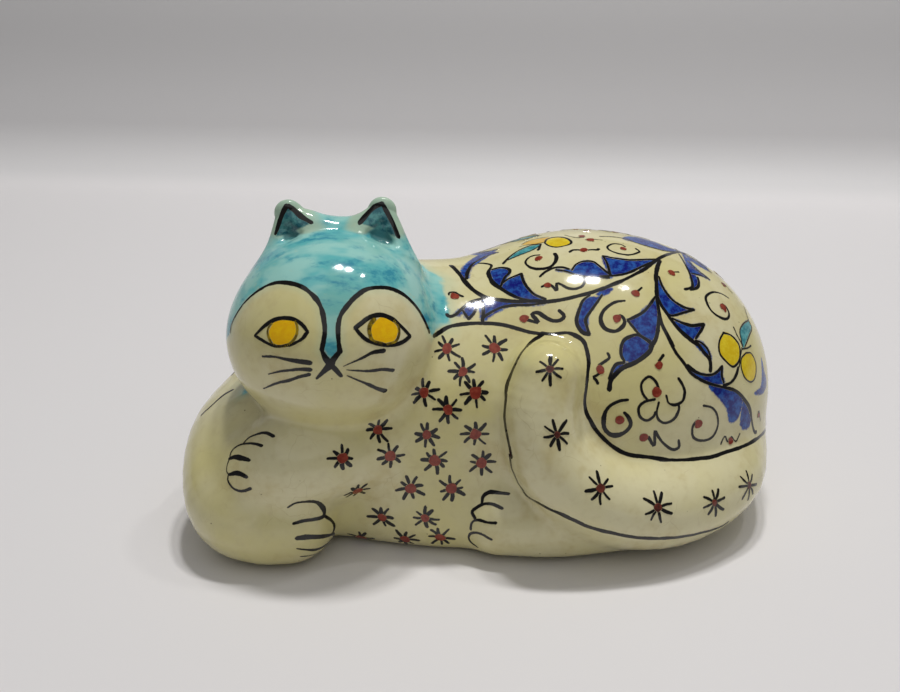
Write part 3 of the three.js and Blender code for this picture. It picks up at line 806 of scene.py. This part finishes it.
# Filled shapes: the spots of each outline
fills = {
    "earFronts": {"guide": "ears", "slot": "turquoise_glaze", "colour": "earFill", "outlines": [
        [(-17, 9), (-18.5, 6), (-20, 2.5), (-20.8, -1), (-17, -0.5), (-12.5, 1.3), (-8.5, 3.3),
         (-11.5, 5.3), (-14.5, 7.5)],
        [(17.3, 10), (14.5, 8.5), (12, 6.2), (10, 3.5), (13.5, 2), (18, 0.3), (22, -1.2), (20.7, 3),
         (19, 7)],
    ]},
    "cobaltLeaves": {"guide": "flank", "slot": "cobalt_paint", "colour": "cobaltFill", "outlines": [
        [(-41.5, 30.5), (-42, 36.5), (-41.5, 44), (-39, 49), (-34, 47.5), (-36.5, 45.5), (-39, 40.5),
         (-40.5, 34.5), (-40, 29)],
        [(-34, 33.5), (-33.5, 35), (-31.5, 35.5), (-29, 34.5), (-28, 33), (-29, 30.5), (-31, 26.5),
         (-32.5, 29)],
        [(-30.5, 26), (-28.5, 29), (-26.5, 30.5), (-24, 31.5), (-23, 28), (-21.5, 25), (-19.5, 22.5),
         (-16.5, 20.5), (-19.5, 20.5), (-23, 21), (-27, 22.5)],
        [(-35, 19.5), (-31.5, 20), (-27.5, 20), (-23, 19.5), (-16, 19), (-19.5, 18.5), (-24, 18.5),
         (-28, 18), (-31, 16), (-33, 14), (-34.5, 12.5)],
        [(-40, 13), (-39, 15), (-38.5, 14.5), (-39.5, 13)],
        [(-38.5, 15.5), (-37.5, 18), (-36, 19), (-36.5, 15.5), (-37.5, 12.5), (-38, 13.5)],
        [(-12, 32.5), (-7, 32), (-5, 34), (-2.5, 36), (0.5, 36), (2.5, 34), (4.5, 31.5), (7, 29.5),
         (6, 28.5), (2, 28.5), (-2, 29), (-6, 30.5), (-9, 31.5)],
        [(5, 38.5), (9, 38), (14.5, 37.5), (20.5, 38.5), (25, 39), (21.5, 35.5), (16.5, 33), (13, 31),
         (8, 29.5), (6.5, 29.5), (5.5, 34)],
        [(-2, 20), (1, 20.5), (2, 20.5), (0.5, 18), (-1.5, 15), (-2.5, 12.5), (-2.5, 9.5), (-2, 7.5),
         (-4, 8.5), (-5.5, 10), (-5.5, 13), (-5, 16.5)],
        [(1.5, 22), (4, 23.5), (6.5, 24), (4.5, 22), (2, 21.5)],
        [(23.5, 29.5), (24.5, 26.5), (26, 23), (28, 20.5), (31.5, 18.5), (35, 18), (31, 16.5), (27, 15),
         (25, 15.5), (23.5, 19.5), (22.5, 24.5)],
        [(26.5, 14), (29, 13), (33, 12), (38, 13), (36.5, 10.5), (34.5, 7.5), (31.5, 8.5), (29, 10.5)],
        [(33.5, 6.5), (36.5, 6.5), (39, 4), (40, 1), (37, 3), (35, 5)],
        [(21.5, 21.5), (22, 18), (21.5, 13), (21, 9), (19.5, 6.5), (18.5, 5.5), (16, 7.5), (13.5, 9.5),
         (11.5, 12), (11, 12.5), (14.5, 14), (17, 16.5), (19.5, 19)],
        [(9, 0), (8.5, 3), (10, 5.5), (12, 7), (15, 7), (19, 4), (17, 1.5), (14.5, -1), (12, -1.5),
         (9.5, -1)],
        [(6, -5), (7.5, -3), (11.5, -2), (13.5, -1.5), (10, -3.5), (7, -5.5)],
        [(32, -2.5), (35, -4), (39, -4.5), (42, -3.5), (44.5, -1.5), (44.5, -4), (45.5, -6.5), (41, -7),
         (37, -6), (34, -4.5)],
        [(40, -8), (44, -8), (48.5, -8.5), (52.5, -9.5), (55, -11), (54.5, -15), (53.5, -18.5),
         (50.5, -19.5), (48.5, -15.5), (46, -13), (42.5, -10.5)],
        [(55.5, -11.5), (58.5, -13.5), (61.5, -17), (61, -20.5), (58, -21.5), (56, -19.5), (55.5, -15.5)],
        [(40, 47.5), (40.5, 41.5), (42.5, 37), (45.5, 33.5), (41.5, 34.5), (37.5, 34.5), (37.5, 38.5)],
        [(42, 49.5), (45.5, 46.5), (48.5, 44), (49, 40), (45, 41), (42, 44)],
        [(37.5, 34.5), (39.5, 32.5), (39.5, 30), (37.5, 27.5), (36.5, 29)],
        [(15.5, 53), (23, 58.5), (30, 56.5), (34.5, 52), (40, 52), (34, 48), (27.5, 47.5), (21, 50)],
        [(66.5, 6), (68, 2), (71.5, -2.5), (67.5, -7), (61.5, -8), (65.5, -5.5), (66.5, -1.5)],
    ]},
    "fruits": {"guide": "flank", "slot": "yellow_paint", "colour": "yellowFill", "outlines": [
        [(45.5, 11), (49, 10.5), (52, 8), (52.5, 4.5), (51, 1.5), (49, -0.5), (46, 1), (44, 3.5),
         (43.5, 7.5)],
        [(55.5, 5.5), (58.5, 5.5), (60.5, 3.5), (61.5, 0.5), (60.5, -3), (57.5, -4.5), (55, -3),
         (53.5, -0.5), (53, 3)],
        [(-15, 49), (-14, 52), (-10.5, 53), (-7, 51.5), (-5.5, 48), (-7.5, 46), (-10.5, 45.5),
         (-14, 46.5)],
    ]},
    "farFruit": {"guide": "flank", "slot": "yellow_paint", "colour": "amberFill", "outlines": [
        [(-24.5, 51), (-22, 53), (-18.5, 54.5), (-14, 54), (-13.5, 52.5), (-16, 50), (-19, 49.5),
         (-22.5, 50)],
    ]},
    "fruitLeaves": {"guide": "flank", "slot": "turquoise_glaze", "colour": "leafFill", "outlines": [
        [(53.5, 10), (54, 13.5), (56.5, 17), (61, 19.5), (61.5, 17), (58.5, 12.5), (55, 8), (54, 7.5)],
        [(-29, 40.5), (-28, 43), (-25.5, 46), (-21, 48), (-17, 48.5), (-18, 46.5), (-21.5, 44),
         (-26, 42)],
    ]},
    "irises": {"guide": "face", "slot": "yellow_paint", "colour": "irisFill", "outlines": [
        [(-30.5, 4.5), (-29.5, 8.5), (-27, 12), (-21.5, 13.5), (-16.5, 13), (-15, 9), (-15.5, 5),
         (-18, 1.5), (-23, -0.5), (-28, 0)],
        [(24.5, 7.5), (26.5, 10.5), (31.5, 13.5), (35.5, 12), (39, 8.5), (40.5, 5), (39, 1), (35, -1.5),
         (30, -1), (25.5, 2)],
    ]},
}

# Eight-rayed stars with a red dot, on the chest and along the tail. Lengths are in millimetres.
stars = {
    "chestStars": {"guide": "front", "length": 4.5, "width": 1.05, "dot": 1.95, "dotColour": "redDot",
                   "seed": 3, "spots": [
        (-8, 32.5), (9, 33.5), (-2.5, 25), (-15.5, 17.5), (2, 18), (-7.5, 12), (-29.5, 4.5), (-15, 3),
        (2, 3), (-34.5, -2.5), (-26, -4.5), (-12.5, -7), (4.5, -8.5), (-34.5, -15.5), (-21, -18),
        (-6.5, -18.5), (-30, -29), (-15.5, -29), (-38, -39), (-22.5, -38.5), (-10, -37)]},
    "tailStars": {"guide": "flank", "length": 5.1, "width": 0.95, "dot": 1.5, "dotColour": "darkDot",
                  "seed": 8, "spots": [
        (-13.5, -5.5), (-12, -23), (0.5, -38.5), (18, -44), (37.5, -43), (53, -38.5)]},
}

# How unevenly a hand lays a star's rays. Turns are in radians, and from and bow in millimetres.
ray = {
    "count": 8, "starTurn": 0.2, "rayTurn": 0.16, "bend": 0.3, "from": 0.7, "bow": 0.45,
    "width": (0.8, 1.2),  # the least and the most of a ray's own width
    "ends": (0.75, 0.8),  # the width at its start and its end
    "dot": (0.85, 1.15),
}

# The scroll of the flank. A dot is a spot and a radius in millimetres.
scroll = {
    "dots": [
        (-18, 39, 1.5), (-1.5, 42.5, 1.3), (-1, 53, 1.3), (2, 49.5, 1.5), (-15, 26, 1.3), (-23, 13.5, 1.6),
        (-41, 19.5, 1.5), (13.5, 44, 1.2), (14.5, 22.5, 1.5), (29.5, 33, 1.4), (7.5, 13, 1.5),
        (47.5, 21, 1.6), (53, 34, 1.2), (21.5, -2.5, 1.5), (1.5, -4.5, 1.5), (21, -11.5, 1.8),
        (8.5, -21.5, 1.9), (17.5, -27.5, 1.5), (37.5, -21.5, 1.6), (52, -26.5, 1.4), (67, -15.5, 1.0)],
    "seed": 5,
    "mirrored": ["stems", "leafLines", "curls", "fruitLines", "cobaltLeaves", "fruits", "fruitLeaves"],
    "ridge": 50, "border": -36,  # between these it is painted again on the far side
}


def layStars(name, facts):
    # Brush rays round each spot, uneven as a hand makes them, and a dot over their middle
    chance = np.random.default_rng(facts["seed"])
    centres = onSkin(facts["guide"], facts["spots"])
    widths, lines = [], []
    for centre in centres:
        right, up = flatAxes(centre)
        turned = chance.uniform(-ray["starTurn"], ray["starTurn"])
        for k in range(ray["count"]):
            turn = 2 * math.pi * k / ray["count"] + turned + chance.uniform(-ray["rayTurn"], ray["rayTurn"])
            way = math.sin(turn) * right + math.cos(turn) * up
            bend = np.cross(way, np.cross(right, up)) * chance.uniform(-ray["bend"], ray["bend"])
            far = facts["length"] * chance.uniform(*paint["uneven"])
            width = facts["width"] * chance.uniform(*ray["width"])
            widths.append((width * ray["ends"][0], width, width * ray["ends"][1]))
            middle = centre + way * (0.5 * far + ray["bow"]) + bend
            lines.append(np.array([centre + way * ray["from"], middle, centre + way * far]))
    layStrokes(name + "Rays", widths, lines, "black_paint", "blackLine")
    radii = [facts["dot"] * chance.uniform(*ray["dot"]) for _ in centres]
    layDots(name + "Dots", centres, radii, "red_paint", facts["dotColour"], facts["seed"])


def mirrored(lines):
    # The scroll again on the cat's far side, less what would cross the ridge of its back
    return [[(-across, up) for across, up in line] for line in lines
            if max(up for _, up in line) < scroll["ridge"] and min(up for _, up in line) > scroll["border"]]


def paintCat():
    for name, facts in brushwork.items():
        widths, spots = zip(*facts["strokes"])
        layStrokes(name, widths, guided(facts["guide"], spots), facts["slot"], facts["colour"])
        if name in scroll["mirrored"]:
            kept = [(width, line) for width, line in zip(widths, spots) if mirrored([line])]
            lines = guided("farFlank", mirrored([line for _, line in kept]))
            layStrokes(name + "Far", [width for width, _ in kept], lines, facts["slot"], facts["colour"])
    for name, facts in fills.items():
        layPatches(name, facts["guide"], facts["outlines"], facts["slot"], facts["colour"])
        if name in scroll["mirrored"]:
            outlines = mirrored(facts["outlines"])
            layPatches(name + "Far", "farFlank", outlines, facts["slot"], facts["colour"])
    for name, facts in stars.items():
        layStars(name, facts)
    spots = [spot[:2] for spot in scroll["dots"]]
    radii = [spot[2] for spot in scroll["dots"]]
    layDots("scrollDots", onSkin("flank", spots), radii, "red_paint", "redDot", scroll["seed"])
    kept = [(spot, radius) for spot, radius in zip(spots, radii) if mirrored([[spot]])]
    far = onSkin("farFlank", [(-across, up) for (across, up), _ in kept])
    layDots("scrollDotsFar", far, [radius for _, radius in kept], "red_paint", "redDot", scroll["seed"] + 1)
    print("paint", list(brushwork), list(fills), list(stars))


def link(tree, value, socket):
    if isinstance(value, bpy.types.NodeSocket):
        tree.links.new(value, socket)
    else:
        socket.default_value = value


def node(tree, kind, inputs=(), **settings):
    made = tree.nodes.new("ShaderNode" + kind)
    for key, value in settings.items():
        setattr(made, key, value)
    for key, value in dict(inputs).items():
        link(tree, value, made.inputs[key])
    return made


def mark(tree, name):
    return node(tree, "Attribute", attribute_name=name).outputs["Fac"]


def noise(tree, vector, size, detail=3.0, roughness=0.5):
    # size is the width of its features in millimetres
    made = node(tree, "TexNoise", {"Vector": vector, "Scale": 1 / (size * mm), "Detail": detail,
                                   "Roughness": roughness})
    return made.outputs["Fac"]


def add(tree, a, b):
    return node(tree, "Math", {0: a, 1: b}, operation="ADD").outputs[0]


def times(tree, a, b):
    return node(tree, "Math", {0: a, 1: b}, operation="MULTIPLY").outputs[0]


def ramp(tree, value, low, high, start=0.0, end=1.0):
    # start below low and end above high, with a smooth rise between them
    limits = {"From Min": low, "From Max": high, "To Min": start, "To Max": end}
    made = node(tree, "MapRange", {"Value": value, **limits}, interpolation_type="SMOOTHSTEP")
    return made.outputs["Result"]


def mix(tree, factor, a, b):
    return node(tree, "Mix", {0: factor, 6: a, 7: b}, data_type="RGBA").outputs[2]


def raggedness(tree, place, size, detail, depth):
    # Noise about zero, which breaks up an edge that is measured in millimetres
    level = node(tree, "Math", {0: noise(tree, place, size, detail, 0.6), 1: 0.5}, operation="SUBTRACT")
    return times(tree, level.outputs[0], depth)


def rgb(red, green, blue):
    # A colour given as it looks on a screen, 0 to 255
    return tuple((c / 255) ** 2.2 for c in (red, green, blue)) + (1.0,)


cream = {"light": rgb(218, 211, 170), "body": rgb(210, 201, 140), "ochre": rgb(186, 166, 96),
         "grey": rgb(194, 182, 138), "crack": rgb(160, 142, 92), "speck": rgb(84, 66, 44)}
turquoise = {"pale": rgb(152, 206, 198), "body": rgb(98, 182, 184), "deep": rgb(32, 124, 154),
             "ear": rgb(52, 108, 112), "rim": rgb(176, 196, 168), "green": rgb(112, 174, 160)}
bareClay = rgb(196, 160, 124)
bareClayShade = rgb(166, 128, 96)
bareClayGrit = rgb(120, 88, 66)

# Sizes are in millimetres. roughness is that of the glaze and of the wiped foot.
glaze = {"crackCell": 9, "crack": 0.26, "speckCell": 7, "slant": -0.62, "washRagged": 2.2,
         "roughness": (0.1, 0.75), "ior": 1.52}


def glazeColour(tree, place):
    # The cream glaze, the turquoise wash over the head, the ears and the wiped foot
    base = mix(tree, ramp(tree, noise(tree, place, 45, 3), 0.35, 0.65), cream["body"], cream["light"])
    base = mix(tree, ramp(tree, noise(tree, place, 24, 4, 0.6), 0.5, 0.75, 0, 0.5), base, cream["ochre"])
    base = mix(tree, ramp(tree, noise(tree, place, 3, 4), 0.45, 0.8, 0, 0.3), base, cream["grey"])
    # Crazing, in patches, with cells that aren't straight, and specks of iron
    swirl = node(tree, "TexNoise", {"Vector": place, "Scale": 110.0}).outputs[1]
    bent = node(tree, "Mix", {0: 0.006, 4: place, 5: swirl}, data_type="VECTOR").outputs[1]
    cells = node(tree, "TexVoronoi", {"Vector": bent, "Scale": 1 / (glaze["crackCell"] * mm)},
                 feature="DISTANCE_TO_EDGE")
    patchy = ramp(tree, noise(tree, place, 13, 2), 0.52, 0.62)
    crack = times(tree, ramp(tree, cells.outputs["Distance"], 0.0, 0.012, glaze["crack"], 0), patchy)
    base = mix(tree, crack, base, cream["crack"])
    specks = node(tree, "TexVoronoi", {"Vector": place, "Scale": 1 / (glaze["speckCell"] * mm)})
    base = mix(tree, ramp(tree, specks.outputs["Distance"], 0.02, 0.05, 0.8, 0), base, cream["speck"])
    # The wash is dabbed on along a slant: pale where it is thin, with short dark strokes where it pools
    slant = node(tree, "Mapping", {"Vector": place, "Rotation": (0.0, glaze["slant"], 0.0),
                                   "Scale": (0.55, 1.0, 1.25)}).outputs[0]
    cloud = noise(tree, slant, 12, 3, 0.55)
    dabs = noise(tree, slant, 4.5, 5, 0.62)
    grain = noise(tree, slant, 0.9, 2, 0.6)
    pools = add(tree, times(tree, dabs, 0.5), times(tree, cloud, 0.38))
    pools = add(tree, pools, times(tree, grain, 0.12))
    tint = mix(tree, ramp(tree, cloud, 0.4, 0.6), turquoise["pale"], turquoise["body"])
    tint = mix(tree, ramp(tree, noise(tree, place, 26, 2), 0.5, 0.7, 0, 0.5), tint, turquoise["green"])
    tint = mix(tree, ramp(tree, pools, 0.5, 0.64, 0, 0.75), tint, turquoise["deep"])
    tint = mix(tree, ramp(tree, dabs, 0.38, 0.28, 0, 0.55), tint, turquoise["rim"])
    tint = mix(tree, ramp(tree, mark(tree, "earHollow"), 0.05, 0.8, 0, 0.9), tint, turquoise["ear"])
    tint = mix(tree, ramp(tree, mark(tree, "earRim"), 0.2, 0.9, 0, 0.8), tint, turquoise["rim"])
    depth = mark(tree, "wash")
    ragged = raggedness(tree, place, 3, 4, glaze["washRagged"])
    cover = ramp(tree, add(tree, depth, ragged), -0.5, 1.1)
    base = mix(tree, ramp(tree, depth, -4, 0.5, 0, 0.22), base, turquoise["pale"])
    base = mix(tree, cover, base, tint)
    height = node(tree, "SeparateXYZ", {0: place}).outputs["Z"]
    uneven = times(tree, noise(tree, place, 4), 0.8 * mm)
    wiped = ramp(tree, add(tree, height, uneven), 0.7 * mm, 1.1 * mm, 1, 0)
    return mix(tree, wiped, base, bareClay), wiped


def bump(tree, height, strength, depth, **under):
    # depth is in millimetres
    inputs = {"Height": height, "Strength": strength, "Distance": depth * mm, **under}
    return node(tree, "Bump", inputs).outputs[0]


def surface(tree, colour, roughness, **more):
    inputs = {"Base Color": colour, "Roughness": roughness, **more}
    shader = node(tree, "BsdfPrincipled", inputs)
    node(tree, "OutputMaterial", {"Surface": shader.outputs[0]})


def glazeSurface(tree, place, colour, wiped):
    # A glossy skin that waves a little, dull where it is wiped off
    waves = bump(tree, noise(tree, place, 7, 2), 0.3, 0.3)
    pits = bump(tree, noise(tree, place, 0.9, 2), 0.12, 0.06, Normal=waves)
    surface(tree, colour, ramp(tree, wiped, 0, 1, *glaze["roughness"]), Normal=pits, IOR=glaze["ior"])


# Colours deep to light, how far it runs past its outline, how fast the edge fades and how ragged it is in
# millimetres, and how streaky it is
paints = {
    "blackLine": {"deep": rgb(9, 7, 7), "light": rgb(30, 27, 24),
                  "run": 0.0, "edge": 0.1, "ragged": 0.3, "streak": 0.5},
    "oliveLine": {"deep": rgb(60, 50, 12), "light": rgb(160, 134, 24),
                  "run": 0.0, "edge": 0.2, "ragged": 0.7, "streak": 1.0},
    "earFill": {"deep": rgb(30, 88, 98), "light": rgb(84, 144, 142),
                "run": 0.15, "edge": 0.4, "ragged": 1.0, "streak": 0.9},
    "cobaltFill": {"deep": rgb(8, 20, 112), "light": rgb(42, 92, 168),
                   "run": 0.55, "edge": 0.45, "ragged": 1.5, "streak": 1.0},
    "yellowFill": {"deep": rgb(218, 186, 22), "light": rgb(236, 216, 56),
                   "run": 0.35, "edge": 0.15, "ragged": 0.3, "streak": 0.6},
    "amberFill": {"deep": rgb(214, 168, 56), "light": rgb(226, 190, 92),
                  "run": 0.2, "edge": 0.2, "ragged": 0.4, "streak": 0.6},
    "irisFill": {"deep": rgb(238, 180, 0), "light": rgb(250, 206, 2),
                 "run": 0.25, "edge": 0.15, "ragged": 0.3, "streak": 0.6},
    "leafFill": {"deep": rgb(40, 124, 134), "light": rgb(98, 176, 178),
                 "run": 0.4, "edge": 0.3, "ragged": 1.0, "streak": 0.9},
    "redDot": {"deep": rgb(122, 42, 26), "light": rgb(158, 74, 54),
               "run": 0.0, "edge": 0.12, "ragged": 0.5, "streak": 0.7},
    "darkDot": {"deep": rgb(66, 32, 26), "light": rgb(120, 56, 42),
                "run": 0.0, "edge": 0.15, "ragged": 0.6, "streak": 0.9},
}


def emptyMaterial(name):
    # A material without nodes but for the one that says where on the cat a point is
    material = bpy.data.materials.new(name)
    material.use_nodes = True
    tree = material.node_tree
    tree.nodes.clear()
    return material, tree, node(tree, "TexCoord").outputs["Object"]


def makeGlaze(name, facts=None):
    # The glaze, with a paint over it if facts are given
    material, tree, place = emptyMaterial(name)
    colour, wiped = glazeColour(tree, place)
    if facts:
        ragged = raggedness(tree, place, 1.1, 3, facts["ragged"])
        edge = add(tree, add(tree, mark(tree, "edge"), ragged), facts["run"])
        streak = ramp(tree, noise(tree, place, 2.2, 5, 0.7), 0.38, 0.66, 0, facts["streak"])
        tint = mix(tree, streak, facts["deep"], facts["light"])
        cover = ramp(tree, edge, -facts["edge"], facts["edge"])
        colour = mix(tree, cover, colour, tint)
    glazeSurface(tree, place, colour, wiped)
    return material


def makeBareClay():
    # Dull and gritty, for the slab underneath
    material, tree, place = emptyMaterial("bareClay")
    tone = mix(tree, ramp(tree, noise(tree, place, 12, 5, 0.6), 0.35, 0.7), bareClay, bareClayShade)
    grit = noise(tree, place, 0.5, 3, 0.7)
    tone = mix(tree, ramp(tree, grit, 0.6, 0.75, 0, 0.5), tone, bareClayGrit)
    surface(tree, tone, 0.85, Normal=bump(tree, grit, 0.5, 0.15))
    return material


def makePaper():
    # The floor's paper, painted darker where it goes up into the wall: painted shade, darkest at the wall's
    # top
    material, tree, place = emptyMaterial("paper")
    height = node(tree, "SeparateXYZ", {0: place}).outputs["Z"]
    # Painted shade: the wall is coloured darker than the floor, and darker still higher up
    tone = mix(tree, ramp(tree, height, 0.03, 0.13), studio["wallFootShade"], studio["wallTopShade"])
    tone = mix(tree, ramp(tree, height, 0, 0.01), studio["floorColour"], tone)
    surface(tree, tone, 0.6)
    return material


studio = {
    "target": (-11.5, 4, 58), "elevation": 22, "distance": 400, "lens": 43.24,
    # The wall's two colours are painted shade: darker than the floor, and darkest at the wall's top
    "floorColour": rgb(224, 222, 223), "wallFootShade": rgb(216, 215, 216), "wallTopShade": rgb(188, 187, 188),
    # The floor's front and back ends and half its width, and the wall's place, foot radius, height and skew
    "floorFront": -1500, "floorBack": 3455, "floorHalf": 2500,
    "wallAt": 455, "wallRadius": 45, "wallHeight": 320, "wallTurn": 0.09,
    "skyColour": (0.97, 0.98, 1.0, 1), "skyStrength": 0.15, "lampColour": (1.0, 0.985, 0.965),
    # name: azimuth (0 is in front, 90 at the rump's end), elevation, distance and size in metres, watts
    "lamps": {
        "keyOne": (165, 83, 1.4, 0.13, 6.4), "keyTwo": (120, 79, 1.4, 0.12, 5.2),
        "keyThree": (95, 67, 1.4, 0.07, 1.3), "softFront": (10, 60, 1.7, 2.4, 7.0),
    },
}


def buildFloor():
    # A pale floor that curves up into a low wall
    at, radius, height = studio["wallAt"], studio["wallRadius"], studio["wallHeight"]
    turns = np.linspace(0.2, math.pi / 2, 8)
    profile = [(studio["floorFront"], 0), (at, 0)]
    profile += [(at + radius * math.sin(t), radius * (1 - math.cos(t))) for t in turns]
    profile += [(at + radius, height), (studio["floorBack"], height)]
    points = []
    for y, z in profile:
        for x in (-studio["floorHalf"], studio["floorHalf"]):
            back = studio["wallTurn"] * x if y > 0 else 0
            points.append((x * mm, (y - back) * mm, z * mm))
    faces = [(2 * k, 2 * k + 1, 2 * k + 3, 2 * k + 2) for k in range(len(profile) - 1)]
    mesh = bpy.data.meshes.new("floor")
    mesh.from_pydata(points, [], faces)
    mesh.shade_smooth()
    mesh.materials.append(makePaper())
    floor = bpy.data.objects.new("floor", mesh)
    bpy.context.scene.collection.objects.link(floor)


def placeCamera():
    camera = bpy.data.objects.new("camera", bpy.data.cameras.new("camera"))
    camera.data.lens = studio["lens"]
    camera.data.clip_start = 0.01
    tilt = math.radians(studio["elevation"])
    away = Vector((0, -math.cos(tilt), math.sin(tilt))) * studio["distance"]
    camera.location = (Vector(studio["target"]) + away) * mm
    camera.rotation_euler = (math.pi / 2 - tilt, 0, 0)
    bpy.context.scene.collection.objects.link(camera)
    bpy.context.scene.camera = camera


def hangLamps():
    for name, (azimuth, elevation, distance, size, watts) in studio["lamps"].items():
        light = bpy.data.lights.new(name, "AREA")
        light.shape = "DISK"
        light.size, light.energy, light.color = size, watts, studio["lampColour"]
        lamp = bpy.data.objects.new(name, light)
        a, e = math.radians(azimuth), math.radians(elevation)
        way = Vector((math.sin(a) * math.cos(e), -math.cos(a) * math.cos(e), math.sin(e)))
        lamp.location = Vector(studio["target"]) * mm + way * distance
        lamp.rotation_euler = way.to_track_quat("Z", "Y").to_euler()
        bpy.context.scene.collection.objects.link(lamp)
    world = bpy.data.worlds.new("world")
    world.use_nodes = True
    world.node_tree.nodes["Background"].inputs["Color"].default_value = studio["skyColour"]
    world.node_tree.nodes["Background"].inputs["Strength"].default_value = studio["skyStrength"]
    bpy.context.scene.world = world
    bpy.context.scene.view_settings.view_transform = "Standard"


materials = {"glaze": makeGlaze("glaze")}
materials.update({name: makeGlaze(name, facts) for name, facts in paints.items()})
print("materials", list(materials))
buildPieces()
paintCat()
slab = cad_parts["base_slab"]
slab.data.materials.clear()
slab.data.materials.append(makeBareClay())
print("base slab in bare clay")
buildFloor()
placeCamera()
hangLamps()
print("studio", list(studio["lamps"]))

bpy.context.view_layer.update()
